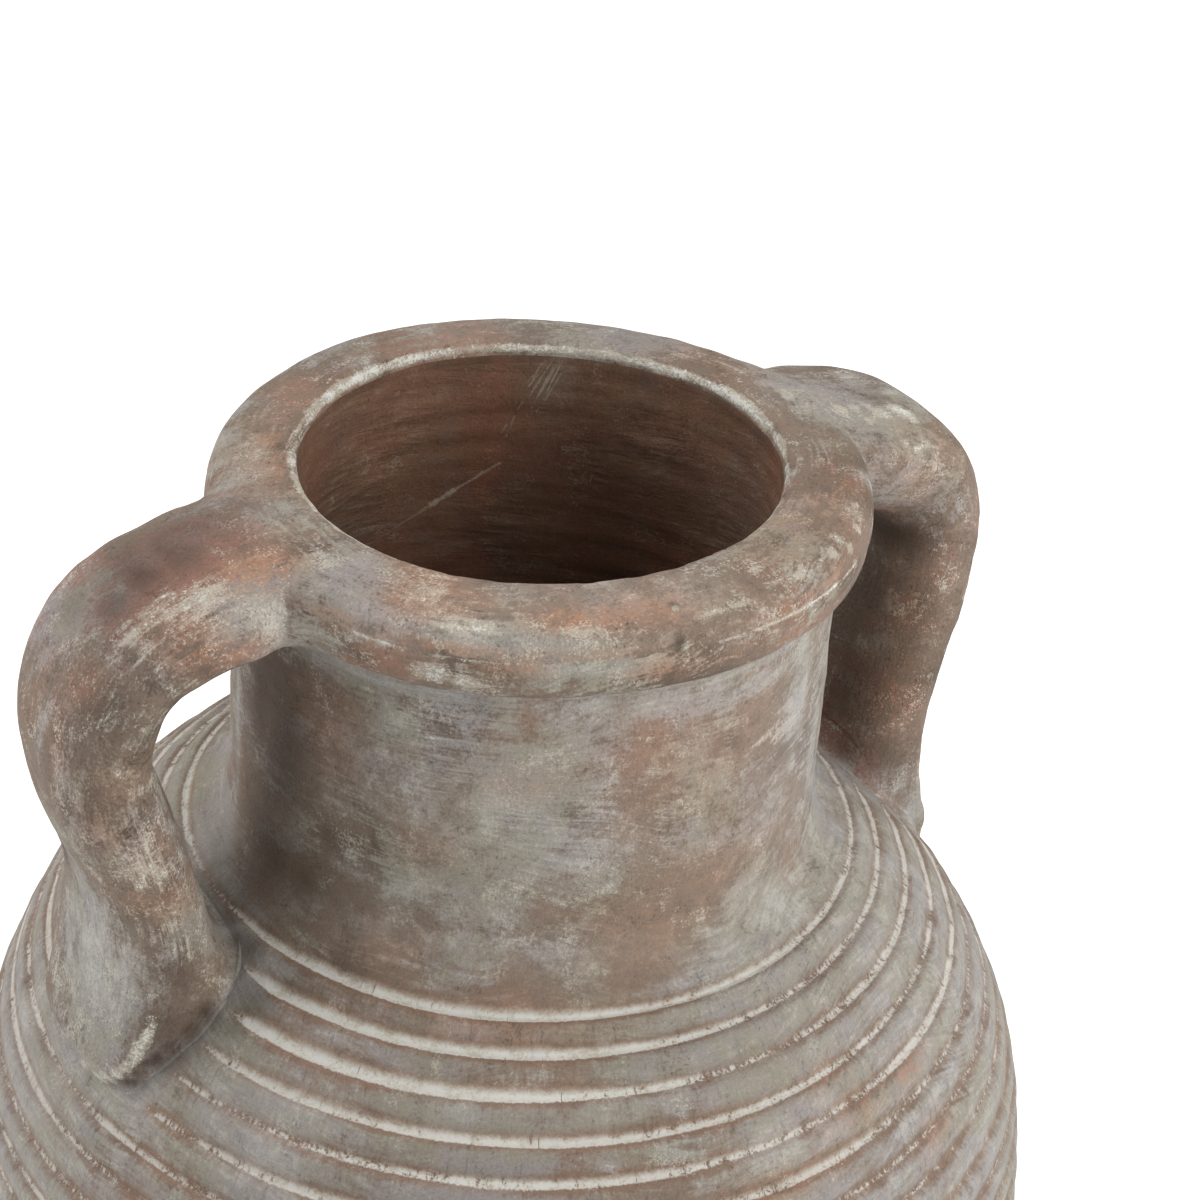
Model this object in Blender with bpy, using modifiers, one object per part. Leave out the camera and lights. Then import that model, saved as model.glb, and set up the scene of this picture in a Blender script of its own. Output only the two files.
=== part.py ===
"""Two-handled ribbed terracotta amphora pot, thrown in sections and luted together.

Units are metres and +Z is up. The origin is the centre of the base, on the
surface the pot stands on. The two strap handles lie along +X and -X.
"""

import math

import bmesh
import bpy
import numpy as np
from mathutils import Matrix, Vector

# ---------------------------------------------------------------- dimensions
MM = 0.001
HEIGHT = 410.0 * MM            # base to mouth
GAP = 0.3 * MM                 # luting gap left between neighbouring pieces
TURN_STEPS = 40                # facets round every turned piece

MOUTH_R = 64.1 * MM            # clear radius through rim and neck
LIP_CHAMFER = 2.6 * MM         # worn bevel on the inner edge of the mouth
LIP_R = 88.3 * MM              # widest point of the rolled lip
LIP_DEPTH = 21.5 * MM          # height of the lip
LIP_EDGE = 9.0 * MM            # rounding of the lip's outer edges
NECK_R = 80.9 * MM             # outside of the neck
NECK_DEPTH = 100.0 * MM        # mouth to the foot of the neck
SPIGOT_R = 72.6 * MM           # register between neck, rim and shoulder
RIM_SPIGOT = 6.0 * MM          # how far the neck enters the rim
NECK_SPIGOT = 8.0 * MM         # how far the neck enters the shoulder

# depth below the mouth and radius of the body, from the foot of the neck down
BODY_STATIONS = (
    (100.0, 80.9), (106.4, 83.0), (112.5, 93.9), (124.5, 110.9),
    (140.2, 125.4), (162.5, 139.2), (182.0, 147.8), (208.0, 152.6),
    (240.5, 155.3), (278.0, 153.4), (312.0, 144.5), (345.0, 129.0),
    (374.0, 110.5), (396.0, 93.5),
)
WALL = 12.0 * MM               # thickness of the thrown walls
RIB_FIRST = 112.9 * MM         # depth of the first groove below the mouth
RIB_LAST = 300.0 * MM          # the grooves stop here, below the belly
RIB_PITCH = 10.9 * MM          # spacing of the grooves along the wall
RIB_DEPTH = 1.6 * MM           # depth of each groove
RIB_HALF = 2.3 * MM            # half width of each groove
BELLY_SEAM = 243.0 * MM        # the two thrown halves meet in the groove nearest here
BELLY_SPIGOT = 6.0 * MM        # register between the two halves

BASE_T = 14.0 * MM             # thickness of the base slab
BASE_BOSS_R = 74.0 * MM        # raised centre of the slab, inside the wall
BASE_BOSS = 4.0 * MM
BASE_R = 81.0 * MM             # flat the pot stands on
BASE_BEVEL = 1.6 * MM

HANDLE_HALF_T = 14.5 * MM      # half thickness of the strap, in its own plane
HANDLE_HALF_W = 28.5 * MM      # half width of the strap
# depth below the mouth, distance from the axis and section factor of the strap
HANDLE_STATIONS = (
    (18.9, 70.0, 1.04), (18.3, 88.0, 1.02), (19.4, 102.0, 1.00),
    (25.6, 118.4, 1.00), (41.0, 128.2, 1.00), (68.0, 127.2, 0.97),
    (100.0, 118.8, 0.93), (128.0, 119.6, 0.95), (152.0, 124.0, 1.00),
)
HANDLE_POINTS = 26
HANDLE_SIDES = 6               # bevel resolution of the strap's oval section

LUTE_R = 7.0 * MM              # coil of clay pressed round the foot of a strap
LUTE_MAJOR = 23.0 * MM
LUTE_SINK = 3.0 * MM           # how far the coil's centre lies under the shoulder
LUTE_CLEAR = 0.4 * MM          # gap between the coil and the strap it holds
LUTE_WIDE = 1.34               # the coil is wider across the strap
FOOT_DEPTH = 137.0 * MM        # where the strap's centreline meets the shoulder

TERRACOTTA = (0.30, 0.19, 0.145)
SLIP_GREY = (0.36, 0.33, 0.31)
CLAY_DARK = (0.23, 0.135, 0.10)


# ------------------------------------------------------------------- scene
for old in list(bpy.data.objects):
    bpy.data.objects.remove(old, do_unlink=True)

parts = bpy.data.collections.new("amphora_pot")
cutters = bpy.data.collections.new("amphora_pot_cutters")
bpy.context.scene.collection.children.link(parts)
bpy.context.scene.collection.children.link(cutters)


def clay(name, colour, roughness):
    mat = bpy.data.materials.new(name)
    mat.use_nodes = True
    shader = mat.node_tree.nodes["Principled BSDF"]
    shader.inputs["Base Color"].default_value = (*colour, 1.0)
    shader.inputs["Roughness"].default_value = roughness
    shader.inputs["Metallic"].default_value = 0.0
    mat.diffuse_color = (*colour, 1.0)
    return mat


# ----------------------------------------------------------------- profiles
def spline(points, count):
    """Points of a Catmull-Rom curve through the stations, evenly sampled."""
    p = np.asarray(points, float)
    p = np.vstack([2 * p[0] - p[1], p, 2 * p[-1] - p[-2]])
    out = []
    for i in range(1, len(p) - 2):
        for t in np.linspace(0.0, 1.0, 40, endpoint=False):
            a, b, c, d = p[i - 1], p[i], p[i + 1], p[i + 2]
            out.append(0.5 * (2 * b + (c - a) * t + (2 * a - 5 * b + 4 * c - d) * t * t
                              + (3 * b - a - 3 * c + d) * t ** 3))
    out.append(p[-2])
    out = np.array(out)
    span = np.concatenate([[0.0], np.cumsum(np.linalg.norm(np.diff(out[:, :2], axis=0), axis=1))])
    at = np.linspace(0.0, span[-1], count)
    return at, np.stack([np.interp(at, span, out[:, k]) for k in range(out.shape[1])], -1)


body_s, body_pts = spline([(d * MM, r * MM) for d, r in BODY_STATIONS], 1200)


def body(s, out=0.0):
    """(radius, depth) on the body wall at arc length s, moved out along its normal."""
    depth = np.interp(s, body_s, body_pts[:, 0])
    radius = np.interp(s, body_s, body_pts[:, 1])
    h = 0.5 * MM
    dd = np.interp(s + h, body_s, body_pts[:, 0]) - np.interp(s - h, body_s, body_pts[:, 0])
    dr = np.interp(s + h, body_s, body_pts[:, 1]) - np.interp(s - h, body_s, body_pts[:, 1])
    size = math.hypot(dd, dr)
    return radius + out * dd / size, depth - out * dr / size


def arc_at(depth):
    return float(np.interp(depth, body_pts[:, 0], body_s))


groove_count = int((arc_at(RIB_LAST) - arc_at(RIB_FIRST)) / RIB_PITCH) + 1
grooves = [arc_at(RIB_FIRST) + i * RIB_PITCH for i in range(groove_count)]
seam_groove = min(grooves, key=lambda s: abs(body(s)[1] - BELLY_SEAM))
seam_r, seam_depth = body(seam_groove, -RIB_DEPTH)
seam_in = body(seam_groove)[0] - WALL
seam_mid = 0.5 * (seam_r + seam_in)


def wall_outside(start, stop):
    """Ribbed outer wall between two arc lengths, from top to bottom."""
    marks = [(start, 0.0)] if start < grooves[0] - RIB_HALF else []
    if marks:
        for f in (0.3, 0.55, 0.78):
            marks.append((start + f * (grooves[0] - RIB_HALF - start), 0.0))
    for s in grooves:
        for ds, out in ((-RIB_HALF, 0.0), (0.0, -RIB_DEPTH), (RIB_HALF, 0.0)):
            if start <= s + ds <= stop and abs(s - seam_groove) > 1e-9:
                marks.append((s + ds, out))
            elif s == seam_groove and ds != 0.0 and start < s + ds < stop:
                marks.append((s + ds, 0.0))
    last = grooves[-1] + RIB_HALF
    if stop > last:
        n = int((stop - last) / (16 * MM)) + 1
        marks += [(last + (stop - last) * k / n, 0.0) for k in range(1, n + 1)]
    return [body(s, out) for s, out in marks]


def wall_inside(start, stop, step=16 * MM):
    n = max(2, int(abs(stop - start) / step) + 1)
    return [body(start + (stop - start) * k / n, -WALL) for k in range(n + 1)]


def turned(name, profile, closed, collection, material=None):
    """A turned piece: (radius, depth) points down the outer side, swept about Z."""
    mesh = bpy.data.meshes.new(name)
    verts = [(r, 0.0, HEIGHT - d) for r, d in profile]
    edges = [(i, i + 1) for i in range(len(verts) - 1)]
    if closed:
        edges.append((len(verts) - 1, 0))
    mesh.from_pydata(verts, edges, [])
    obj = bpy.data.objects.new(name, mesh)
    collection.objects.link(obj)
    if material:
        mesh.materials.append(material)
    screw = obj.modifiers.new("Turn", "SCREW")
    screw.axis = "Z"
    screw.angle = 2.0 * math.pi
    screw.steps = TURN_STEPS
    screw.render_steps = TURN_STEPS
    screw.use_merge_vertices = True
    screw.merge_threshold = 0.00005
    screw.use_smooth_shade = True
    return obj


def hide(obj):
    obj.hide_render = True
    obj.display_type = "WIRE"
    return obj


def lip_outside(grow=0.0):
    """Outer side of the rolled lip, from its top face to its underside."""
    e = LIP_EDGE
    pts = []
    for k in range(5):                                   # rounded upper edge
        a = math.radians(90.0 - 82.0 * k / 4)
        pts.append((LIP_R - 0.9 * MM - e + (e + grow) * math.cos(a),
                    0.55 * MM + e - (e + grow) * math.sin(a)))
    pts.append((LIP_R + grow, 11.9 * MM))
    f = 5.0 * MM
    for k in range(4):                                   # rounded lower edge
        a = math.radians(-8.0 - 82.0 * k / 3)
        pts.append((LIP_R - 0.5 * MM - f + (f + grow) * math.cos(a),
                    LIP_DEPTH - f - (f + grow) * math.sin(a)))
    return pts


# -------------------------------------------------------------- turned pieces
body_clay = clay("body_clay", TERRACOTTA, 0.88)
neck_clay = clay("neck_clay", SLIP_GREY, 0.86)
rim_clay = clay("rim_clay", TERRACOTTA, 0.82)
base_clay = clay("base_clay", CLAY_DARK, 0.92)
handle_clay = clay("handle_clay", TERRACOTTA, 0.84)
lute_clay = clay("lute_clay", SLIP_GREY, 0.90)

# rim: a rolled ring with a rebate underneath for the neck
rim = [(MOUTH_R + LIP_CHAMFER, 0.0)] + lip_outside() + [
    (SPIGOT_R + GAP, LIP_DEPTH),
    (SPIGOT_R + GAP, LIP_DEPTH - RIM_SPIGOT),
    (MOUTH_R, LIP_DEPTH - RIM_SPIGOT),
    (MOUTH_R, 0.8 * LIP_CHAMFER),
]
turned("rim_ring", rim, True, parts, rim_clay)

# neck: a thrown cylinder with a spigot at each end
neck = [
    (NECK_R, LIP_DEPTH + GAP),
    (NECK_R, 0.5 * (LIP_DEPTH + NECK_DEPTH)),
    (NECK_R, NECK_DEPTH - 0.5 * GAP),
    (SPIGOT_R - 0.5 * GAP, NECK_DEPTH - 0.5 * GAP),
    (SPIGOT_R - 0.5 * GAP, NECK_DEPTH + NECK_SPIGOT - 0.5 * GAP),
    (MOUTH_R, NECK_DEPTH + NECK_SPIGOT - 0.5 * GAP),
    (MOUTH_R, 0.5 * (LIP_DEPTH + NECK_DEPTH)),
    (MOUTH_R, LIP_DEPTH - RIM_SPIGOT + GAP),
    (SPIGOT_R, LIP_DEPTH - RIM_SPIGOT + GAP),
    (SPIGOT_R, LIP_DEPTH + GAP),
]
turned("neck_collar", neck, True, parts, neck_clay)

# upper body: the ribbed shoulder, rebated for the neck above and the belly below
upper = [(NECK_R, NECK_DEPTH + 0.5 * GAP)]
upper += wall_outside(arc_at(NECK_DEPTH + 1.5 * MM), seam_groove - 1e-6)
upper += [
    (seam_r, seam_depth - 0.5 * GAP),
    (seam_mid + 0.5 * GAP, seam_depth - 0.5 * GAP),
    (seam_mid + 0.5 * GAP, seam_depth - BELLY_SPIGOT - 0.5 * GAP),
    (seam_in, seam_depth - BELLY_SPIGOT - 0.5 * GAP),
]
upper += wall_inside(arc_at(seam_depth - 16 * MM), arc_at(124.0 * MM))[0:]
upper += [
    (MOUTH_R + 6.0 * MM, NECK_DEPTH + 21.0 * MM),
    (MOUTH_R, NECK_DEPTH + 17.0 * MM),
    (MOUTH_R, NECK_DEPTH + NECK_SPIGOT + 0.5 * GAP),
    (SPIGOT_R + 0.5 * GAP, NECK_DEPTH + NECK_SPIGOT + 0.5 * GAP),
    (SPIGOT_R + 0.5 * GAP, NECK_DEPTH + 0.5 * GAP),
]
turned("upper_body", upper, True, parts, body_clay)

# lower body: from the belly seam down to the base slab
foot_s = arc_at(HEIGHT - BASE_T - 0.5 * GAP)
lower = [(seam_r, seam_depth + 0.5 * GAP)]
lower += wall_outside(seam_groove + 1e-6, foot_s)
lower += [(BASE_BOSS_R + GAP, HEIGHT - BASE_T - 0.5 * GAP)]
lower += wall_inside(arc_at(HEIGHT - BASE_T - 12.0 * MM), arc_at(seam_depth + 12 * MM))
lower += [
    (seam_in, seam_depth - BELLY_SPIGOT + 0.5 * GAP),
    (seam_mid - 0.5 * GAP, seam_depth - BELLY_SPIGOT + 0.5 * GAP),
    (seam_mid - 0.5 * GAP, seam_depth + 0.5 * GAP),
]
turned("lower_body", lower, True, parts, body_clay)

# base: a flat slab with a raised centre that the wall is built round
edge_r = body(foot_s)[0]
base = [
    (0.0, HEIGHT - BASE_T - BASE_BOSS),
    (BASE_BOSS_R, HEIGHT - BASE_T - BASE_BOSS),
    (BASE_BOSS_R, HEIGHT - BASE_T + 0.5 * GAP),
    (edge_r, HEIGHT - BASE_T + 0.5 * GAP),
    (BASE_R + BASE_BEVEL, HEIGHT - BASE_BEVEL),
    (BASE_R, HEIGHT),
    (0.0, HEIGHT),
]
turned("base_slab", base, False, parts, base_clay)

# ------------------------------------------------------------------- handles
# the solid that the straps are trimmed against, a luting gap outside the pot
envelope = [(0.0, -6.0 * MM), (MOUTH_R, -6.0 * MM)] + lip_outside(GAP)
envelope += [(NECK_R + GAP, LIP_DEPTH + GAP), (NECK_R + GAP, NECK_DEPTH)]
stop = arc_at(200.0 * MM)
start = arc_at(NECK_DEPTH + 3.0 * MM)
envelope += [body(start + (stop - start) * k / 16, GAP) for k in range(17)]
envelope += [(0.0, 200.0 * MM)]
envelope = hide(turned("pot_envelope", envelope, False, cutters))


def strap(name, side, grow, collection):
    """The pulled strap as an oval bar on its centreline, trimmed by nothing yet."""
    _, path = spline([(d * MM, r * MM, f) for d, r, f in HANDLE_STATIONS], HANDLE_POINTS)
    curve = bpy.data.curves.new(name + "_line", "CURVE")
    curve.dimensions = "3D"
    curve.twist_mode = "MINIMUM"
    curve.bevel_depth = HANDLE_HALF_T + grow
    curve.bevel_resolution = HANDLE_SIDES
    curve.use_fill_caps = True
    line = curve.splines.new("POLY")
    line.points.add(len(path) - 1)
    for point, (depth, radius, factor) in zip(line.points, path):
        point.co = (side * radius, 0.0, HEIGHT - depth, 1.0)
        point.radius = factor
    bar = bpy.data.objects.new(name + "_line", curve)
    collection.objects.link(bar)
    bpy.context.view_layer.update()
    mesh = bpy.data.meshes.new_from_object(bar.evaluated_get(bpy.context.evaluated_depsgraph_get()))
    mesh.name = name
    bm = bmesh.new()
    bm.from_mesh(mesh)
    bmesh.ops.remove_doubles(bm, verts=bm.verts, dist=0.00002)
    wide = (HANDLE_HALF_W + grow) / (HANDLE_HALF_T + grow)
    bmesh.ops.transform(bm, matrix=Matrix.Scale(wide, 4, (0.0, 1.0, 0.0)), verts=bm.verts)
    bmesh.ops.recalc_face_normals(bm, faces=bm.faces)
    bm.to_mesh(mesh)
    bm.free()
    mesh.shade_smooth()
    mesh.set_sharp_from_angle(angle=math.radians(40.0))
    obj = bpy.data.objects.new(name, mesh)
    obj.matrix_world = bar.matrix_world
    collection.objects.link(obj)
    bpy.data.objects.remove(bar, do_unlink=True)
    return obj


def trim(obj, cutter, bends=False):
    cut = obj.modifiers.new("Trim", "BOOLEAN")
    cut.operation = "DIFFERENCE"
    cut.solver = "EXACT"
    cut.use_self = bends
    cut.object = cutter


foot_r, foot_depth = body(arc_at(FOOT_DEPTH), -LUTE_SINK)
out_r, out_depth = body(arc_at(FOOT_DEPTH), 20.0 * MM)

for side, label in ((1.0, "right"), (-1.0, "left")):
    handle = strap(label + "_handle", side, 0.0, parts)
    handle.data.materials.append(handle_clay)
    trim(handle, envelope)

    # coil of clay luted round the foot of the strap, lying on the shoulder
    normal = Vector((side * (out_r - foot_r), 0.0, foot_depth - out_depth)).normalized()
    bpy.ops.mesh.primitive_torus_add(major_radius=LUTE_MAJOR, minor_radius=LUTE_R,
                                     major_segments=28, minor_segments=10)
    lute = bpy.context.object
    lute.name = label + "_foot_lute"
    lute.data.name = lute.name
    for home in list(lute.users_collection):
        home.objects.unlink(lute)
    parts.objects.link(lute)
    turn = Vector((0.0, 0.0, 1.0)).rotation_difference(normal).to_matrix().to_4x4()
    lute.data.transform(Matrix.Translation((side * foot_r, 0.0, HEIGHT - foot_depth)) @ turn
                        @ Matrix.Scale(LUTE_WIDE, 4, (0.0, 1.0, 0.0)))
    lute.data.shade_smooth()
    lute.data.materials.append(lute_clay)
    bore = hide(strap(label + "_handle_clearance", side, LUTE_CLEAR, cutters))
    trim(lute, bore, bends=True)
    trim(lute, envelope)

bpy.context.view_layer.update()
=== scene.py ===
"""Visual model of the two-handled amphora pot: fired clay, ribbed shoulder, aged wash.

One closed mesh stands for each solid of the frame. The turned pieces are cut from one
lathe surface, so their joints meet ring for ring; the straps are swept along a spline
and filleted into the lip, and each foot wears a smeared collar of clay.
Lengths here are millimetres, in the frame's own axes (origin under the base, +Z up);
"depth" is measured down from the lip plane.
"""
import math

import bpy
import numpy as np
from mathutils import Matrix, Vector


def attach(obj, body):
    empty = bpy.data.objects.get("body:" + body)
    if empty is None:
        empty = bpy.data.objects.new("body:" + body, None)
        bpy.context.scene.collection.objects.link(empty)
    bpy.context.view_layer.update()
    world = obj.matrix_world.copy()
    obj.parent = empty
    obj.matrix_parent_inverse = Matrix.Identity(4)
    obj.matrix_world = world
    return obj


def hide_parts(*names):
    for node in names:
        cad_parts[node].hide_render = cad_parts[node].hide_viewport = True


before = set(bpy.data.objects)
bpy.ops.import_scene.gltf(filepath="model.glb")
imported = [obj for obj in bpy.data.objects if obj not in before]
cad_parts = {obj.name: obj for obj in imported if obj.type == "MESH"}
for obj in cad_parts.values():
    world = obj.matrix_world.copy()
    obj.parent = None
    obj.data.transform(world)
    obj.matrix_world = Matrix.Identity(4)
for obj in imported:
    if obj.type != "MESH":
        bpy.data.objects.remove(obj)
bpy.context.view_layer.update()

# ----------------------------------------------------------------- sizes
HEIGHT = 410.0
COLS = 600                       # columns round the pot

BORE_R = 64.1
NECK_R = 80.9
NECK_END = 100.0                 # depth of the joint of neck and shoulder
LIP_END = 21.5                   # depth of the joint of lip and neck

LIP = [(64.15, 3.6), (64.35, 2.1), (65.1, 0.9), (66.7, 0.15), (69.0, 0.0), (73.0, 0.15),
       (78.0, 0.7), (82.0, 1.5), (84.7, 2.7), (86.5, 4.5), (87.6, 7.0), (88.15, 10.0),
       (88.3, 12.6), (88.1, 15.6), (87.45, 18.3), (86.3, 20.2), (84.6, 21.5)]
UNDER = [(84.6, 21.5), (82.9, 22.1), (81.7, 23.0), (81.05, 24.8), (80.9, 27.5)]
BODY = [(84.0, 80.9), (93.0, 80.95), (99.0, 81.3), (104.0, 82.8), (108.4, 86.9),
        (112.6, 93.2), (118.3, 101.3), (125.1, 110.0), (133.3, 118.2), (142.0, 126.1),
        (150.6, 131.6), (162.5, 139.0), (182.0, 147.4), (201.5, 151.6), (221.0, 153.8),
        (240.5, 154.6), (278.0, 152.6), (312.0, 144.2), (345.0, 129.0), (374.0, 110.5),
        (396.0, 93.5)]
BASE = [(93.5, 396.0), (88.6, 401.6), (84.3, 406.4), (82.2, 408.6), (81.0, 409.6), (79.4, 410.0)]

GROOVES = [112.6, 118.3, 125.1, 133.3, 140.9, 150.6]   # depths of the first valleys
PITCH = 10.9
GROOVE_LAST = 300.0
SEAM = 243.0
RIB_H = 1.7
RIB_ROWS = [0.0, 0.05, 0.11, 0.18, 0.27, 0.40, 0.56, 0.71, 0.82, 0.90, 0.955]

WALL = 12.0

# strap centre line: distance from the axis, depth; half thickness and half width along it
STRAP = [(71.5, 12.4), (80.5, 12.9), (100.4, 16.8), (118.1, 24.1), (128.0, 38.7), (127.6, 64.9),
         (118.1, 101.1), (123.2, 149.2), (124.6, 165.0)]
STRAP_A = [(0.0, 7.6), (0.035, 11.0), (0.10, 14.3), (0.17, 14.8), (0.42, 14.8), (0.70, 13.4),
           (0.85, 12.9), (0.900, 13.5), (0.920, 12.7), (0.932, 10.2), (0.945, 6.2), (0.965, 2.5), (1.0, 2.0)]
STRAP_IN = [(0.0, 7.6), (0.035, 11.0), (0.10, 14.3), (0.17, 14.8), (0.42, 14.8), (0.64, 13.8),
            (0.70, 15.4), (0.73, 18.6), (0.757, 23.0), (0.79, 27.0), (1.0, 28.0)]
STRAP_B = [(0.0, 20.0), (0.05, 27.0), (0.12, 30.4), (0.20, 29.5), (0.42, 27.0), (0.70, 29.6),
           (0.80, 29.4), (0.86, 28.2), (0.90, 26.8), (0.94, 24.8), (1.0, 23.0)]
# what each hand-pulled strap has more or less of, outer and inner face
STRAP_OUT_MORE = {"left": [(0.0, 0.0), (0.08, 1.3), (0.16, 0.2), (0.24, -1.6), (0.32, -2.3), (0.40, -1.8), (0.48, -0.9),
                           (0.56, -1.0), (0.64, -0.5), (0.72, -0.3), (0.88, -0.2), (0.92, 0.6), (0.94, 2.0), (0.96, 2.8), (1.0, 2.4)],
                  "right": [(0.0, -2.5), (0.08, -4.6), (0.16, -4.7), (0.24, -2.5), (0.32, -2.7), (0.40, -1.3), (0.48, -0.7),
                            (0.56, 0.6), (0.64, 0.3), (0.72, -3.1), (0.80, -4.3), (0.87, -2.6), (0.92, 0.5), (0.94, 4.8), (0.96, 7.6), (0.98, 7.0), (1.0, 5.5)]}
STRAP_IN_MORE = {"left": [(0.0, 0.0), (0.08, -2.5), (0.16, -5.5), (0.24, -5.8), (0.32, -3.5), (0.40, -1.6), (0.48, 0.0), (1.0, 0.0)],
                 "right": [(0.0, 0.0), (0.08, 2.8), (0.16, 6.2), (0.24, 6.4), (0.32, 3.6), (0.40, 1.0), (0.48, 0.0), (1.0, 0.0)]}
STRAP_AZ = {"right": 1.40, "left": 178.60}
STRAP_ROWS, STRAP_COLS = 220, 136
ROOT_FILLET = 9.0

# slight lean of the lip plane, in the direction the maker's wheel left it
LEAN = 0.02685
LEAN_AZ = math.radians(-34.57)


# ----------------------------------------------------------------- small maths
def smooth(x, a, b):
    t = np.clip((np.asarray(x, float) - a) / (b - a), 0.0, 1.0)
    return t * t * (3.0 - 2.0 * t)


def bump1(x, c, w):
    return np.exp(-((np.asarray(x, float) - c) / w) ** 2)


def _lattice(ix, iy, iz, seed):
    h = (ix * 73856093) ^ (iy * 19349663) ^ (iz * 83492791) ^ (seed * 2654435761)
    h &= 0xFFFFFFFF
    h = ((h ^ (h >> 13)) * 1274126177) & 0xFFFFFFFF
    h ^= h >> 16
    h = (h * 2246822519) & 0xFFFFFFFF
    h ^= h >> 15
    return h / 2147483647.5 - 1.0


def noise(p, size, seed):
    """Smooth value noise in [-1, 1]; size is the cell in millimetres (a number or three)."""
    q = np.asarray(p, float) / np.asarray(size, float)
    i = np.floor(q).astype(np.int64)
    f = q - i
    f = f * f * f * (f * (f * 6.0 - 15.0) + 10.0)
    out = 0.0
    for dx in (0, 1):
        wx = f[..., 0] if dx else 1.0 - f[..., 0]
        for dy in (0, 1):
            wy = f[..., 1] if dy else 1.0 - f[..., 1]
            for dz in (0, 1):
                wz = f[..., 2] if dz else 1.0 - f[..., 2]
                out = out + wx * wy * wz * _lattice(i[..., 0] + dx, i[..., 1] + dy, i[..., 2] + dz, seed)
    return out


def fbm(p, size, seed, octaves=3, gain=0.5):
    out, amp, tot = 0.0, 1.0, 0.0
    size = np.asarray(size, float)
    for k in range(octaves):
        out = out + amp * noise(p, size / 2.0 ** k, seed + 17 * k)
        tot += amp
        amp *= gain
    return out / tot


def catmull(points, steps=24):
    p = np.array(points, float)
    q = np.vstack([2 * p[0] - p[1], p, 2 * p[-1] - p[-2]])
    t = np.linspace(0.0, 1.0, steps, endpoint=False)[:, None]
    out = []
    for i in range(1, len(q) - 2):
        a, b, c, d = q[i - 1], q[i], q[i + 1], q[i + 2]
        out.append(0.5 * (2 * b + (c - a) * t + (2 * a - 5 * b + 4 * c - d) * t ** 2
                          + (3 * b - a - 3 * c + d) * t ** 3))
    return np.vstack(out + [p[-1:]])


def arc(poly):
    return np.concatenate([[0.0], np.cumsum(np.linalg.norm(np.diff(poly, axis=0), axis=1))])


def at_arc(poly, s, x):
    return np.stack([np.interp(x, s, poly[:, k]) for k in range(poly.shape[1])], -1)


def cubic(t, y, x):
    """Cubic spline through (t, y), not-a-knot ends, with its first derivative."""
    t, y = np.asarray(t, float), np.asarray(y, float)
    n, h = len(t), np.diff(t)
    a, b = np.zeros((n, n)), np.zeros(n)
    for i in range(1, n - 1):
        a[i, i - 1], a[i, i], a[i, i + 1] = h[i - 1], 2 * (h[i - 1] + h[i]), h[i]
        b[i] = 6 * ((y[i + 1] - y[i]) / h[i] - (y[i] - y[i - 1]) / h[i - 1])
    a[0, :3] = -h[1], h[0] + h[1], -h[0]
    a[-1, -3:] = -h[-1], h[-1] + h[-2], -h[-2]
    m = np.linalg.solve(a, b)
    k = np.clip(np.searchsorted(t, x, side="right") - 1, 0, n - 2)
    d, hk = x - t[k], h[k]
    c1 = (y[k + 1] - y[k]) / hk - hk * (2 * m[k] + m[k + 1]) / 6
    v = y[k] + c1 * d + m[k] * d ** 2 / 2 + (m[k + 1] - m[k]) * d ** 3 / (6 * hk)
    return v, c1 + m[k] * d + (m[k + 1] - m[k]) * d ** 2 / (2 * hk)


# ----------------------------------------------------------------- the turned profile
BODY_CURVE = catmull([(r, d) for d, r in BODY], 30)          # (r, depth)
BODY_S = arc(BODY_CURVE)


def groove_arcs():
    s = [float(np.interp(d, BODY_CURVE[:, 1], BODY_S)) for d in GROOVES]
    last = float(np.interp(GROOVE_LAST, BODY_CURVE[:, 1], BODY_S))
    while s[-1] + PITCH <= last:
        s.append(s[-1] + PITCH)
    return s


GROOVE_S = groove_arcs()
SEAM_K = int(np.argmin([abs(float(np.interp(s, BODY_S, BODY_CURVE[:, 1])) - SEAM) for s in GROOVE_S]))


def resample(poly, step, keep_end=True):
    s = arc(poly)
    n = max(2, int(round(s[-1] / step)) + 1)
    x = np.linspace(0.0, s[-1], n)
    return at_arc(poly, s, x if keep_end else x[:-1])


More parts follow.
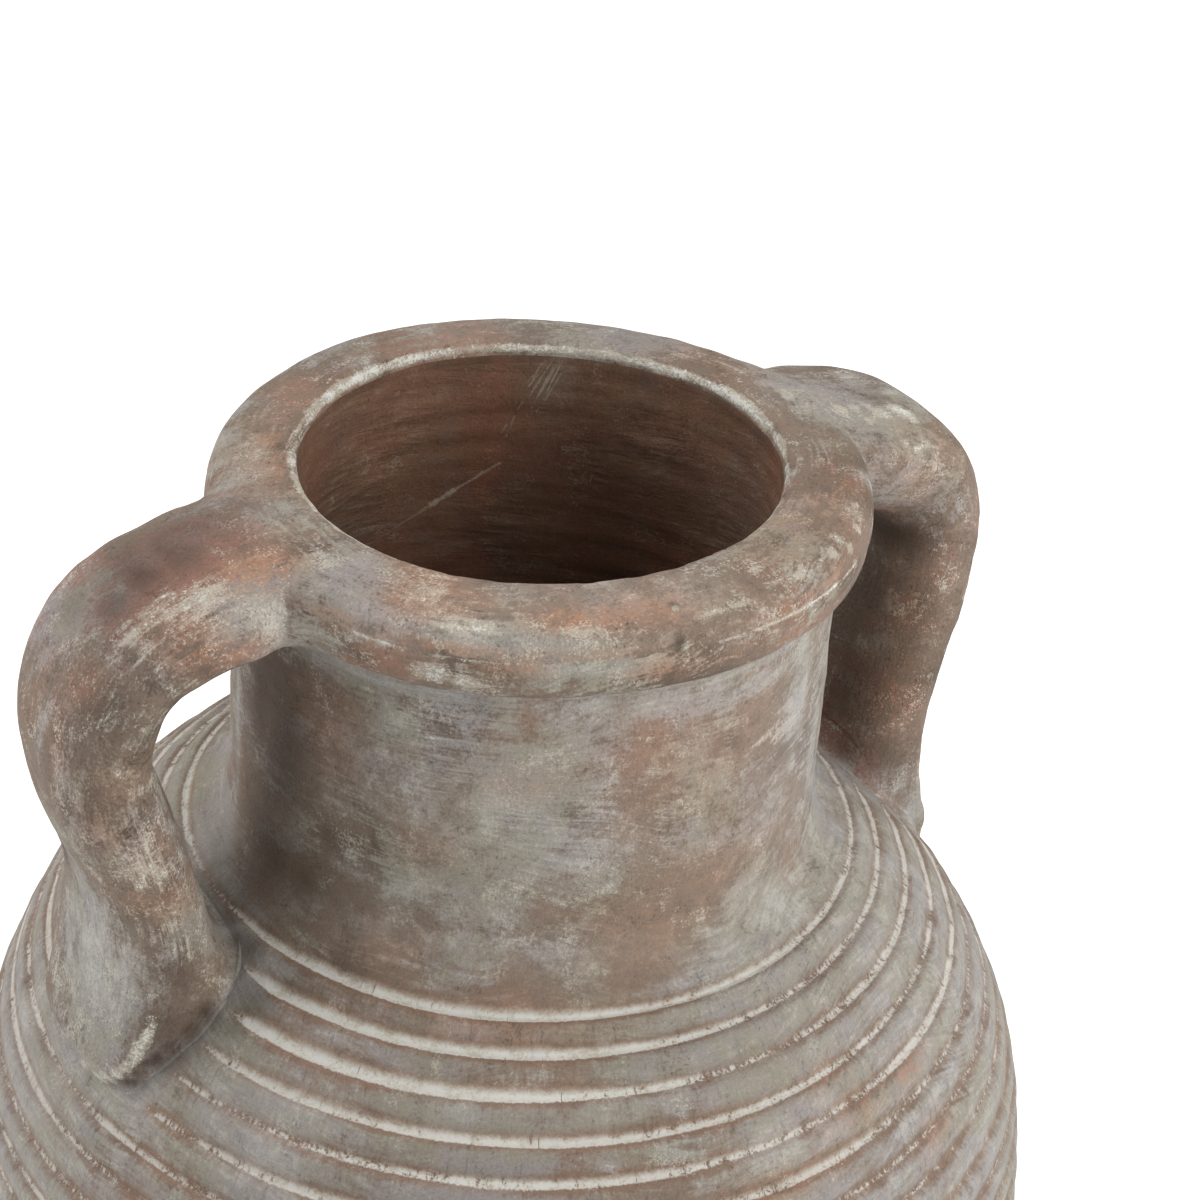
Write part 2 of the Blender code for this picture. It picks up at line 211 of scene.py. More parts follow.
def build_rows():
    """All the outer rings from the mouth's edge to the resting face: r, depth, rib phase, rib weight."""
    r, d, ph, on, cut = [], [], [], [], {}

    def add(rr, dd, p=-20.0, w=0.0):
        r.append(float(rr)); d.append(float(dd)); ph.append(float(p)); on.append(float(w))

    for rr, dd in resample(catmull(LIP, 12), 0.62):
        add(rr, dd)
    cut["lip"] = len(r) - 1
    for rr, dd in resample(catmull(UNDER, 10), 0.7)[1:]:
        add(rr, dd)
    for dd in np.arange(28.9, 84.0, 1.35):
        add(NECK_R, dd)
    s0 = 0.0
    sa = float(np.interp(NECK_END, BODY_CURVE[:, 1], BODY_S))
    sb = GROOVE_S[0] - 5.5
    for s in np.linspace(s0, sa, 13):
        rr, dd = at_arc(BODY_CURVE, BODY_S, s)
        add(rr, dd)
    cut["neck"] = len(r) - 1
    first = GROOVE_S[0]
    for s in np.linspace(sa, first, 15)[1:-1]:
        rr, dd = at_arc(BODY_CURVE, BODY_S, s)
        add(rr, dd, (s - first) / PITCH, float(smooth(s, first - 7.0, first - 1.0)))
    ends = GROOVE_S + [GROOVE_S[-1] + PITCH]
    for k in range(len(GROOVE_S)):
        for f in RIB_ROWS:
            s = ends[k] + f * (ends[k + 1] - ends[k])
            rr, dd = at_arc(BODY_CURVE, BODY_S, s)
            w = 1.0 if k < len(GROOVE_S) - 1 else float(1.0 - smooth(f, 0.3, 0.95))
            add(rr, dd, k + f, w)
            if k == SEAM_K and f == 0.0:
                cut["belly"] = len(r) - 1
    tail = np.linspace(ends[-1], BODY_S[-1], int((BODY_S[-1] - ends[-1]) / 2.2) + 1)
    for s in tail:
        rr, dd = at_arc(BODY_CURVE, BODY_S, s)
        add(rr, dd, len(GROOVE_S) + (s - ends[-1]) / PITCH, 0.0)
    cut["body"] = len(r) - 1
    for rr, dd in resample(catmull(BASE, 8), 0.9)[1:]:
        add(rr, dd)
    for rr in (72.0, 60.0, 45.0, 30.0, 15.0, 4.0):
        add(rr, 410.0)
    return np.array(r), np.array(d), np.array(ph), np.array(on), cut


ROW_R, ROW_D, ROW_RIB, ROW_ON, CUT = build_rows()


def rib_height(ph):
    """Relief of the throwing ribs over one pitch: a short ledge under each valley, then a long slope to the next."""
    f = ph - np.floor(ph)
    crest = smooth(f, 0.0, 0.25) * (1.0 - smooth(f, 0.30, 1.0))
    return crest - 0.46


def inner_rows():
    """Rings of the inside, from the mouth's edge down to the floor."""
    rows = [(BORE_R, dd) for dd in np.concatenate([np.linspace(6.0, LIP_END, 14), np.linspace(LIP_END + 1.4, NECK_END, 52)])]
    n_lip, n_neck = 14, 66
    rows += [(BORE_R, 108.0), (64.4, 114.0), (66.4, 118.2), (70.1, 121.0)]
    tan = np.gradient(BODY_CURVE, axis=0)
    tan /= np.linalg.norm(tan, axis=1)[:, None]
    off = BODY_CURVE + WALL * np.stack([-tan[:, 1], tan[:, 0]], -1)
    s_in = arc(off)
    seam_d = float(np.interp(GROOVE_S[SEAM_K], BODY_S, BODY_CURVE[:, 1]))
    keep = off[(off[:, 1] > 128.0) & (off[:, 1] < 392.0)]
    up = resample(keep[keep[:, 1] <= seam_d], 6.0)
    lo = resample(keep[keep[:, 1] >= seam_d], 6.0)
    up[-1], lo[0] = (up[-1] + lo[0]) / 2, (up[-1] + lo[0]) / 2
    rows += [tuple(x) for x in up]
    n_up = len(rows)
    rows += [tuple(x) for x in lo[1:]]
    n_low = len(rows)
    return np.array(rows), (n_lip, n_neck, n_up, n_low)


IN_ROWS, IN_CUT = inner_rows()


# ----------------------------------------------------------------- distances for the fillets
POT_LINE = np.vstack([resample(np.vstack([catmull(LIP, 10), catmull(UNDER, 8)[1:], [[80.9, 60.0]]]), 1.2),
                      resample(np.vstack([[[80.9, 60.0]], BODY_CURVE]), 2.4)[1:]])
POT_N = np.gradient(POT_LINE, axis=0)
POT_N /= np.linalg.norm(POT_N, axis=1)[:, None]
POT_N = np.stack([POT_N[:, 1], -POT_N[:, 0]], -1)        # points out of the clay


def pot_dist(p):
    """Signed distance to the smooth turned outside, negative in the clay or inside the pot."""
    p = np.asarray(p, float)
    rd = np.stack([np.hypot(p[..., 0], p[..., 1]), HEIGHT - p[..., 2]], -1).reshape(-1, 2)
    out = np.empty(len(rd))
    for k in range(0, len(rd), 20000):
        c = rd[k:k + 20000]
        d2 = ((c[:, None, :] - POT_LINE[None]) ** 2).sum(-1)
        i = np.argmin(d2, 1)
        v = c - POT_LINE[i]
        nn = POT_N[i]
        along = v[:, 0] * -nn[:, 1] + v[:, 1] * nn[:, 0]
        nrm = (v * nn).sum(-1)
        extra = np.maximum(np.abs(along) - 1.3, 0.0)
        out[k:k + 20000] = np.sign(nrm) * np.hypot(nrm, extra)
    return out.reshape(p.shape[:-1])


class Strap:
    def __init__(self, side):
        az = math.radians(STRAP_AZ[side])
        self.side = side
        self.er = np.array([math.cos(az), math.sin(az), 0.0])
        self.et = np.array([-math.sin(az), math.cos(az), 0.0])
        pts = np.array(STRAP, float)
        t = arc(pts)
        t /= t[-1]
        self.t = np.linspace(0.0, 1.0, 420)
        self.rho, dr = cubic(t, pts[:, 0], self.t)
        self.dep, dd = cubic(t, pts[:, 1], self.t)
        n = np.hypot(dr, dd)
        self.tr, self.td = dr / n, dd / n
        self.speed = n
        self.nr, self.nd = self.td, -self.tr              # outward and up
        self.front = 1.0 if side == "left" else -1.0      # sign of the side that faces the front
        self.corner = 0.034 if side == "left" else 0.010  # how early its corner is rounded off
        self.a = np.interp(self.t, *zip(*STRAP_A)) + np.interp(self.t, *zip(*STRAP_OUT_MORE[side]))
        self.ain = np.interp(self.t, *zip(*STRAP_IN)) + np.interp(self.t, *zip(*STRAP_IN_MORE[side]))
        self.b = np.interp(self.t, *zip(*STRAP_B))
        for _ in range(14):                               # round off the corners of the tables
            for q in (self.a, self.ain, self.b):
                q[1:-1] = (q[:-2] + 2 * q[1:-1] + q[2:]) / 4
        self.pow = 2.35 + 1.25 * smooth(self.t, 0.62, 0.9)

    def surface(self, t, u):
        """Point and rough outward normal at place t along the strap and angle u round it."""
        f = lambda q: np.interp(t, self.t, q)
        c, s = np.cos(u), np.sin(u)
        # the tongue's end is rounded off in plan, more so at its front corner
        ahead = t + self.corner * smooth(s * self.front, 0.25, 1.0) ** 2 + 0.018 * smooth(-s * self.front, 0.4, 1.0) ** 2
        a = np.where(c >= 0.0, np.interp(np.where(np.asarray(t) > 0.8, ahead, t), self.t, self.a), f(self.ain))
        b, m = f(self.b), f(self.pow)
        k = (np.abs(c) ** m + np.abs(s) ** m) ** (-1.0 / m)
        q, w = a * c * k, b * s * k
        # the point on the section: out from the centre line along the strap's normal, and sideways across its width
        rho = f(self.rho) + q * f(self.nr)
        dep = f(self.dep) + q * f(self.nd)
        p = rho[..., None] * self.er + w[..., None] * self.et
        p[..., 2] = HEIGHT - dep
        nq = np.sign(c) * np.abs(c) ** (m - 1) / a
        nw = np.sign(s) * np.abs(s) ** (m - 1) / b
        nrm = (nq * f(self.nr))[..., None] * self.er + nw[..., None] * self.et
        nrm[..., 2] = -nq * f(self.nd)
        nrm /= np.linalg.norm(nrm, axis=-1)[..., None]
        return p, nrm

    def dist(self, p):
        p = np.asarray(p, float)
        flat = p.reshape(-1, 3)
        x, w, d = flat @ self.er, flat @ self.et, HEIGHT - flat[:, 2]
        out = np.empty(len(flat))
        for k in range(0, len(flat), 20000):
            e = slice(k, k + 20000)
            d2 = (x[e, None] - self.rho[None]) ** 2 + (d[e, None] - self.dep[None]) ** 2
            i = np.argmin(d2, 1)
            vx, vd = x[e] - self.rho[i], d[e] - self.dep[i]
            q = vx * self.nr[i] + vd * self.nd[i]
            along = np.abs(vx * self.tr[i] + vd * self.td[i])
            a, b, m = np.where(q >= 0.0, self.a[i], self.ain[i]), self.b[i], self.pow[i]
            g = ((np.abs(q) / a) ** m + (np.abs(w[e]) / b) ** m) ** (1.0 / m)
            length = np.hypot(q, w[e])
            dd = np.where(g > 1e-6, length * (1.0 - 1.0 / np.maximum(g, 1e-6)), -np.minimum(a, b))
            dd = np.maximum(dd, -a)
            past = np.maximum(along - 1.2, 0.0)
            out[e] = np.where(past > 0, np.hypot(np.maximum(dd, 0.0), past), dd)
        return out.reshape(p.shape[:-1])


STRAPS = {s: Strap(s) for s in ("right", "left")}


def smin(a, b, k):
    h = np.maximum(k - np.abs(a - b), 0.0) / k
    return np.minimum(a, b) - h * h * k * 0.25


def settle(p, n, own, other, k, sink):
    """Move points out along n to the fillet of two solids, and let them dive under past the joint."""
    o0 = other(p)
    todo = o0 < k * 1.2
    delta = np.zeros(p.shape[:-1])
    if todo.any():
        q, nn = p[todo], n[todo]
        dl = np.zeros(len(q))
        aim = -sink * np.maximum(-o0[todo], 0.0)
        for _ in range(7):
            x = q + dl[:, None] * nn
            g = smin(own(x), other(x), k)
            dl = np.clip(dl + 0.85 * (aim - g), -4.0, 5.0)
        delta[todo] = dl
    return delta


# ----------------------------------------------------------------- the handmade warp, common to every piece
def warp(p):
    p = np.array(p, float)
    dep = HEIGHT - p[..., 2]
    up = 1.0 - smooth(dep, 20.0, 104.0)
    xf = p[..., 0] * math.cos(LEAN_AZ) + p[..., 1] * math.sin(LEAN_AZ)
    rad = np.hypot(p[..., 0], p[..., 1])
    lean = np.clip(xf, -96.0, 96.0)
    out = p.copy()
    out[..., 2] += LEAN * lean * up
    out[..., 0] += -0.5 * up * math.cos(LEAN_AZ)
    out[..., 1] += -0.5 * up * math.sin(LEAN_AZ)
    # the lip stands a little higher at the back, and the belly pulled in as it dried
    az = np.degrees(np.arctan2(p[..., 1], p[..., 0]))
    out[..., 2] += up * (1.65 * np.exp(-((az - 97.0) / 31.0) ** 2) - 0.35 * np.exp(-((az - 26.0) / 16.0) ** 2)) * smooth(rad, 40.0, 80.0)
    slim = 1.0 - 0.0024 * smooth(dep, 112.0, 140.0) * smooth(p[..., 2], 0.0, 60.0)
    out[..., 0] *= slim
    out[..., 1] *= slim
    foot = smooth(p[..., 2], 0.0, 45.0)
    for ax, seed in ((0, 3), (1, 4), (2, 5)):
        amp = 0.75 if ax < 2 else 0.45
        out[..., ax] += amp * foot * fbm(p, 74.0, seed, 2)
    return out


def grain(p, amp=1.0):
    """Fine unevenness of the hand-finished skin, in millimetres along the normal."""
    return amp * (0.20 * noise(p, 13.0, 21) + 0.13 * noise(p, 5.5, 22) + 0.06 * noise(p, (9.0, 9.0, 1.8), 23))


# ----------------------------------------------------------------- mesh making
def grid_normals(p, wrap=True):
    if wrap:
        dj = np.roll(p, -1, 1) - np.roll(p, 1, 1)
    else:
        dj = np.gradient(p, axis=1)
    di = np.gradient(p, axis=0)
    n = np.cross(di, dj)
    ln = np.linalg.norm(n, axis=-1)
    n /= np.maximum(ln, 1e-9)[..., None]
    return n


def make_mesh(name, verts, faces, normals, attrs, node, mat, second=None, second_faces=()):
    me = bpy.data.meshes.new(name)
    me.from_pydata((np.asarray(verts) * 0.001).tolist(), [], faces)
    me.update()
    me.polygons.foreach_set("use_smooth", np.ones(len(me.polygons), dtype=bool))
    for key, val in attrs.items():
        val = np.asarray(val, np.float32)
        if val.ndim == 2:
            at = me.attributes.new(key, "FLOAT_VECTOR", "POINT")
            at.data.foreach_set("vector", val.ravel())
        else:
            at = me.attributes.new(key, "FLOAT", "POINT")
            at.data.foreach_set("value", val.ravel())
    if normals is not None:
        me.normals_split_custom_set_from_vertices(np.asarray(normals).tolist())
    me.materials.append(mat)
    if second is not None:
        me.materials.append(second)
        idx = np.zeros(len(me.polygons), dtype=np.int32)
        idx[second_faces[0]:second_faces[1]] = 1
        me.polygons.foreach_set("material_index", idx)
    ob = bpy.data.objects.new(name, me)
    bpy.context.scene.collection.objects.link(ob)
    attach(ob, "root")
    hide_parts(node)
    return ob


def ring_quads(a, b, n):
    """Quads between two rings that start at vertex a and b."""
    j = np.arange(n)
    k = (j + 1) % n
    return np.stack([a + j, b + j, b + k, a + k], -1).tolist()


# ----------------------------------------------------------------- the clay's materials
def lin(r, g, b):
    f = lambda c: (c / 255.0 / 12.92) if c <= 10.3 else ((c / 255.0 + 0.055) / 1.055) ** 2.4
    return (f(r), f(g), f(b), 1.0)


class Tree:
    """A thin wrapper that adds nodes and wires them by value."""

    def __init__(self, name):
        self.mat = bpy.data.materials.new(name)
        self.mat.use_nodes = True
        self.nt = self.mat.node_tree
        self.nt.nodes.clear()

    def put(self, sock, val):
        if isinstance(val, bpy.types.NodeSocket):
            self.nt.links.new(val, sock)
        else:
            sock.default_value = val

    def node(self, kind, **props):
        n = self.nt.nodes.new(kind)
        for k, v in props.items():
            setattr(n, k, v)
        return n

    def math(self, op, a, b=0.0, c=0.0, clamp=False):
        n = self.node("ShaderNodeMath", operation=op, use_clamp=clamp)
        self.put(n.inputs[0], a)
        self.put(n.inputs[1], b)
        self.put(n.inputs[2], c)
        return n.outputs[0]

    def add(self, *xs):
        out = xs[0]
        for x in xs[1:]:
            out = self.math("ADD", out, x)
        return out

    def mul(self, a, b):
        return self.math("MULTIPLY", a, b)

    def noise(self, vec, scale, detail=4.0, rough=0.55, distort=0.0):
        n = self.node("ShaderNodeTexNoise", noise_dimensions="3D")
        self.put(n.inputs["Vector"], vec)
        n.inputs["Scale"].default_value = scale
        n.inputs["Detail"].default_value = detail
        n.inputs["Roughness"].default_value = rough
        n.inputs["Distortion"].default_value = distort
        return n.outputs["Fac"]

    def step(self, x, lo, hi, to_lo=0.0, to_hi=1.0):
        n = self.node("ShaderNodeMapRange", interpolation_type="SMOOTHSTEP", clamp=True)
        self.put(n.inputs["Value"], x)
        self.put(n.inputs["From Min"], lo)
        self.put(n.inputs["From Max"], hi)
        self.put(n.inputs["To Min"], to_lo)
        self.put(n.inputs["To Max"], to_hi)
        return n.outputs["Result"]

    def mix(self, fac, a, b):
        n = self.node("ShaderNodeMix", data_type="RGBA", clamp_factor=True)
        self.put(n.inputs[0], fac)
        self.put(n.inputs[6], a)
        self.put(n.inputs[7], b)
        return n.outputs[2]

    def attr(self, name, vector=False):
        n = self.node("ShaderNodeAttribute", attribute_type="GEOMETRY", attribute_name=name)
        return n.outputs["Vector"] if vector else n.outputs["Fac"]

    def scale_vec(self, v, xyz):
        n = self.node("ShaderNodeVectorMath", operation="MULTIPLY")
        self.put(n.inputs[0], v)
        n.inputs[1].default_value = xyz
        return n.outputs[0]

    def shift_vec(self, v, xyz):
        n = self.node("ShaderNodeVectorMath", operation="ADD")
        self.put(n.inputs[0], v)
        n.inputs[1].default_value = xyz
        return n.outputs[0]


TONE = 0.56                      # share of the light that the aged skin gives back, against the tones named below


def skin_tone(r, g, b):
    c = lin(r, g, b)
    return (c[0] * TONE, c[1] * TONE, c[2] * TONE, 1.0)


CLAY = dict(mid=skin_tone(142, 123, 107), dark=skin_tone(100, 86, 73), red=skin_tone(158, 123, 103),
            wash=skin_tone(164, 158, 150), pale=skin_tone(193, 190, 183), warm=skin_tone(176, 131, 104),
            umber=skin_tone(72, 58, 47), cream=skin_tone(230, 228, 220), ivory=skin_tone(210, 202, 184),
            rust=skin_tone(140, 108, 86), straw=skin_tone(196, 183, 156), lilac=skin_tone(164, 158, 155), olive=skin_tone(158, 153, 136))


def clay_material(name, wash=0.6, scum=0.4, red=0.5, dark=0.5, cover=0.0, grain=1.0, speck=0.5, hairs=0.3, strokes=0.5,
                  dust=0.0, runs=0.0, wear=0.0, mottle=0.0, lines=False, tint=None, cuts=(), seed=0.0):
    """Aged clay: soft fields of brown, red and patina, painted shade where the dark marks lie in shade, a wiped grey
    wash with its brush lines, grains, scratches and cream crust.
    """
    t = Tree(name)
    col = dict(CLAY)
    if tint:
        col.update(tint)
    tc = t.node("ShaderNodeTexCoord")
    v = t.shift_vec(tc.outputs["Object"], (seed * 0.37, seed * 0.21, seed * 0.13))
    brush, hair = t.attr("brush", True), t.attr("hair", True)

    def even(n, sd):
        """Noise about zero with a spread near one."""
        return t.math("MULTIPLY_ADD", n, 1.0 / sd, -0.5 / sd)

    tone = even(t.noise(v, 1000 / 62.0, 3.0, 0.5, 0.3), 0.105)
    veil = even(t.noise(t.shift_vec(v, (1.3, 4.7, 2.9)), 1000 / 44.0, 4.0, 0.55, 0.5), 0.10)
    aged = even(t.noise(t.shift_vec(v, (3.1, 1.7, 0.9)), 1000 / 34.0, 3.0, 0.55, 0.4), 0.105)
    cast = even(t.noise(t.shift_vec(v, (5.5, 0.4, 3.3)), 1000 / 26.0, 4.0, 0.60, 0.5), 0.095)
    clump = even(t.noise(t.shift_vec(v, (2.2, 8.1, 6.4)), 1000 / 13.0, 5.0, 0.64, 0.6), 0.085)
    pink = even(t.noise(v, 1000 / 8.0, 9.0, 0.86, 0.25), 0.048)
    sand = even(t.noise(t.shift_vec(v, (7.7, 2.3, 5.1)), 1000 / 0.85, 2.0, 0.62), 0.095)
    fine = even(t.noise(t.shift_vec(v, (0.9, 6.1, 4.2)), 1000 / 0.5, 1.0, 0.5), 0.115)
    stroke = even(t.noise(brush, 10 / 1.5, 4.0, 0.66, 0.4), 0.073)
    stroke = t.mul(stroke, t.step(aged, -1.2, 1.2, 0.35, 1.2))     # brushed here, plain there
    comb = even(t.noise(t.shift_vec(brush, (3.0, 1.0, 7.0)), 10 / 2.4, 2.5, 0.55, 0.3), 0.09)
    vein = even(t.noise(t.shift_vec(v, (4.4, 9.2, 1.6)), 1000 / 19.0, 5.0, 0.60, 0.9), 0.10)
    rift = even(t.noise(t.shift_vec(v, (8.3, 3.2, 6.6)), 1000 / 23.0, 6.0, 0.66, 0.9), 0.10)
    hairn = even(t.noise(hair, 10 / 1.0, 4.0, 0.66, 0.2), 0.075)
    grey, warm, patina_and_shade, white = t.attr("grey"), t.attr("warm"), t.attr("dark"), t.attr("white")

    bristle = t.mul(t.step(t.math("ABSOLUTE", comb), 0.34, 0.04), t.step(t.add(t.mul(clump, 0.6), t.mul(stroke, 0.5), t.mul(veil, 0.4)), -0.3, 1.3))
    scratch = t.mul(t.step(t.math("ABSOLUTE", vein), 0.085, 0.02), t.step(t.add(clump, t.mul(sand, 0.3)), 0.5 - wear, 1.3 - wear))
    crack = t.mul(t.step(t.math("ABSOLUTE", rift), 0.080, 0.02), t.step(t.add(clump, t.mul(sand, 0.3)), wear - 0.7, wear - 1.5))

    if lines:
        rib, on, full = t.attr("rib"), t.attr("rib_on"), t.attr("line")
        hairn = t.mul(hairn, t.step(on, 0.0, 0.6))                # the upright hairs come with the ribs
    over = t.add(t.mul(veil, 0.85), t.mul(clump, 0.24), t.mul(pink, 0.20 + 0.25 * mottle), t.mul(sand, 0.12 + 0.15 * mottle), t.mul(stroke, 1.5 * strokes),
                 t.mul(bristle, 0.3 + strokes), t.mul(hairn, hairs * 0.6), t.mul(grey, 2.3), cover)
    if runs:
        run = even(t.noise(t.scale_vec(hair, (0.30, 0.30, 0.12)), 1.0, 4.0, 0.62, 0.3), 0.10)
        over = t.add(over, t.mul(run, runs))
    if lines:
        each = even(t.noise(t.scale_vec(hair, (0.62, 0.62, 25.0)), 10 / 40.0, 3.0, 0.6), 0.11)
        keep = t.add(t.mul(full, 0.92), t.mul(each, 0.12), t.mul(pink, 0.02))
        nick = even(t.noise(t.scale_vec(hair, (1.0, 1.0, 0.5)), 10 / 0.8, 2.0, 0.5), 0.10)
        wid = t.add(t.step(keep, 0.05, 1.0, 0.10, 0.42), t.mul(nick, 0.010), t.mul(sand, 0.006))
        f = t.math("FRACT", t.add(rib, t.mul(hairn, 0.007), t.mul(pink, 0.010), 0.62))    # 0.62 at the valley
        top = t.math("MULTIPLY_ADD", wid, -0.62, 0.62)
        foot = t.math("MULTIPLY_ADD", wid, 0.38, 0.62)
        on_rib = t.step(on, 0.0, 0.5)
        under = t.mul(t.step(f, t.add(foot, 0.22), t.add(foot, 0.03)), t.mul(t.step(f, t.add(top, -0.02), t.add(top, 0.03)), on_rib))
        fringe = t.mul(t.mul(t.step(f, t.add(top, -0.24), t.add(top, 0.05)), t.step(f, t.add(top, 0.20), t.add(top, 0.06))), on_rib)
        band = t.mul(on, t.math("SUBTRACT", 1.0, t.math("MAXIMUM", under, fringe)))
        over = t.add(over, t.mul(band, t.step(full, 0.2, 1.0, 1.1, 0.25)), t.mul(under, t.step(full, 0.2, 1.0, -0.5, -0.9)), t.mul(fringe, t.step(full, 0.2, 1.0, -0.9, -0.4)))

    span = 1.0 - 0.5 * mottle
    rosy = t.add(t.mul(tone, 0.85), t.mul(clump, 0.30), t.mul(pink, 0.22), t.mul(stroke, 0.2 + 0.5 * strokes))
    c = t.mix(t.mul(t.step(rosy, 0.5 - span, 0.5 + span), red), col["mid"], col["red"])
    c = t.mix(t.mul(t.step(t.add(aged, t.mul(pink, 0.25), t.mul(stroke, 0.25)), 0.0, 1.9), dark), c, col["dark"])
    # grey wash wiped over the clay, lilac here and olive there, and a thin scumble on what stands up
    veil_c = t.mix(t.step(t.add(cast, t.mul(pink, 0.3)), -1.4, 1.4), col["lilac"], col["olive"])
    c = t.mix(t.mul(t.step(over, 0.55 - 1.15 * span, 0.55 + 1.15 * span), wash), c, veil_c)
    thin = t.add(t.mul(pink, 0.42), t.mul(stroke, 0.25 + 0.7 * strokes), t.mul(hairn, 0.2 + hairs), t.mul(clump, 0.40), t.mul(grey, 1.5),
                 t.mul(bristle, 0.9), 0.5 * cover - 0.15)
    c = t.mix(t.mul(t.step(thin, 0.7, 2.4), scum), c, col["pale"])
    c = t.mix(t.mul(grey, t.step(t.add(t.mul(pink, 0.35), t.mul(stroke, 0.5), t.mul(clump, 0.4)), -1.9, 1.5, 0.25, 0.78)), c, col["pale"])
    c = t.mix(t.mul(t.step(t.add(t.mul(hairn, 0.8), t.mul(pink, 0.4)), -0.8, -2.2), hairs), c, col["umber"])
    # worn warm clay; dark patina, and painted shade where the dark marks stand for shade
    c = t.mix(t.mul(warm, t.step(t.add(t.mul(pink, 0.45), t.mul(stroke, 0.5), t.mul(clump, 0.3)), -1.3, 1.0)), c, col["warm"])
    c = t.mix(t.mul(patina_and_shade, t.step(t.add(t.mul(pink, 0.5), t.mul(clump, 0.5)), -1.6, 1.0, 0.62, 0.96)), c, col["umber"])
    if lines:
        c = t.mix(t.mul(under, t.step(full, 0.2, 1.0, 0.22, 0.40)), c, col["red"])
        c = t.mix(t.mul(fringe, t.step(full, 0.2, 1.0, 0.34, 0.20)), c, col["rust"])
    # grain of the surface
    lift = t.add(1.0, t.mul(pink, 0.040 * grain), t.mul(sand, 0.040 * grain), t.mul(fine, 0.034 * grain), t.mul(stroke, 0.06 * strokes * grain))
    gain = t.node("ShaderNodeVectorMath", operation="SCALE")
    t.put(gain.inputs[0], c)
    t.put(gain.inputs["Scale"], lift)
    c = gain.outputs[0]
    bare = t.step(patina_and_shade, 0.55, 0.15)
    dots = t.add(t.mul(fine, 0.60), t.mul(sand, 0.50), t.mul(clump, 0.75), t.mul(pink, 0.20))
    c = t.mix(t.mul(t.mul(t.step(dots, 1.75 - dust, 2.4 - dust), speck), bare), c, col["ivory"])
    pits = t.add(t.mul(sand, -0.75), t.mul(fine, -0.40), t.mul(clump, 0.45), t.mul(pink, -0.35))
    c = t.mix(t.mul(t.step(pits, 1.7, 2.5), 0.55 * speck), c, col["umber"])
    c = t.mix(t.mul(t.mul(scratch, 0.20 + 0.45 * speck), bare), c, col["ivory"])
    c = t.mix(t.mul(crack, 0.15 + 0.50 * speck), c, col["umber"])

    # cream crust: the more of it, the more closed its crumbs
    smear = t.add(t.mul(pink, 0.22), t.mul(stroke, 0.30), t.mul(clump, 0.28), t.mul(fine, 0.15), t.mul(white, 3.4), -1.2)
    c = t.mix(t.mul(t.mul(t.step(smear, -0.1, 1.2), 0.62), t.step(white, 0.01, 0.2)), c, col["ivory"])
    crumb = t.add(t.mul(pink, 0.40), t.mul(sand, 0.55), t.mul(fine, 0.55), t.mul(stroke, 0.25), t.mul(hairn, 0.5 * hairs), t.mul(white, 4.2), -2.85)
    crust = t.mul(t.step(crumb, 0.0, 0.8), t.step(white, 0.01, 0.10))
    body = t.mix(t.step(t.add(t.mul(pink, 0.8), t.mul(sand, 0.4), 0.0 if lines else t.math("MULTIPLY_ADD", white, 3.6, -3.2)), -1.7 if lines else -1.1, 0.4 if lines else 0.9), col["ivory"], col["cream"])
    for p0, p1, half, much in cuts:
        a, e = Vector(p0) * 0.001, Vector(p1) * 0.001
        rel = t.shift_vec(tc.outputs["Object"], tuple(-a))
        dot = t.node("ShaderNodeVectorMath", operation="DOT_PRODUCT")
        t.put(dot.inputs[0], rel)
        dot.inputs[1].default_value = tuple((e - a) / (e - a).length_squared)
        along = t.math("ADD", dot.outputs["Value"], 0.0, clamp=True)
        back = t.node("ShaderNodeVectorMath", operation="SCALE")
        back.inputs[0].default_value = tuple(e - a)
        t.put(back.inputs["Scale"], along)
        gapv = t.node("ShaderNodeVectorMath", operation="DISTANCE")
        t.put(gapv.inputs[0], rel)
        t.put(gapv.inputs[1], back.outputs[0])
        edge = t.add(t.mul(gapv.outputs["Value"], 1000.0 / half), t.mul(sand, 0.25), t.mul(fine, 0.15), t.mul(clump, 0.35), 0.1)
        crust = t.math("MAXIMUM", crust, t.mul(t.step(edge, 1.15, 0.55), much))
    if lines:
        soft = t.step(f, t.add(top, t.mul(hairn, 0.012), -0.05), t.math("MULTIPLY_ADD", wid, 0.60, top))
        line = t.mul(soft, t.step(f, t.add(foot, 0.022), t.add(foot, -0.022)))
        whole = t.add(t.mul(pink, 0.40), t.mul(sand, 0.50), t.mul(hairn, 0.50), t.mul(keep, 6.4), -1.25)
        line = t.mul(line, t.mul(t.mul(t.step(whole, -0.2, 1.3), t.step(full, 0.25, 0.85, 0.70, 1.0)), t.step(on, 0.02, 0.25)))
        line = t.mul(line, t.step(t.add(nick, t.mul(clump, 0.5)), -2.6, -2.1, 0.2, 1.0))
        crust = t.math("MAXIMUM", crust, line)
        body = t.mix(t.mul(t.math("SUBTRACT", 1.0, soft), t.mul(t.step(on, 0.0, 0.3), 0.8)), body, col["straw"])
    c = t.mix(crust, c, body)

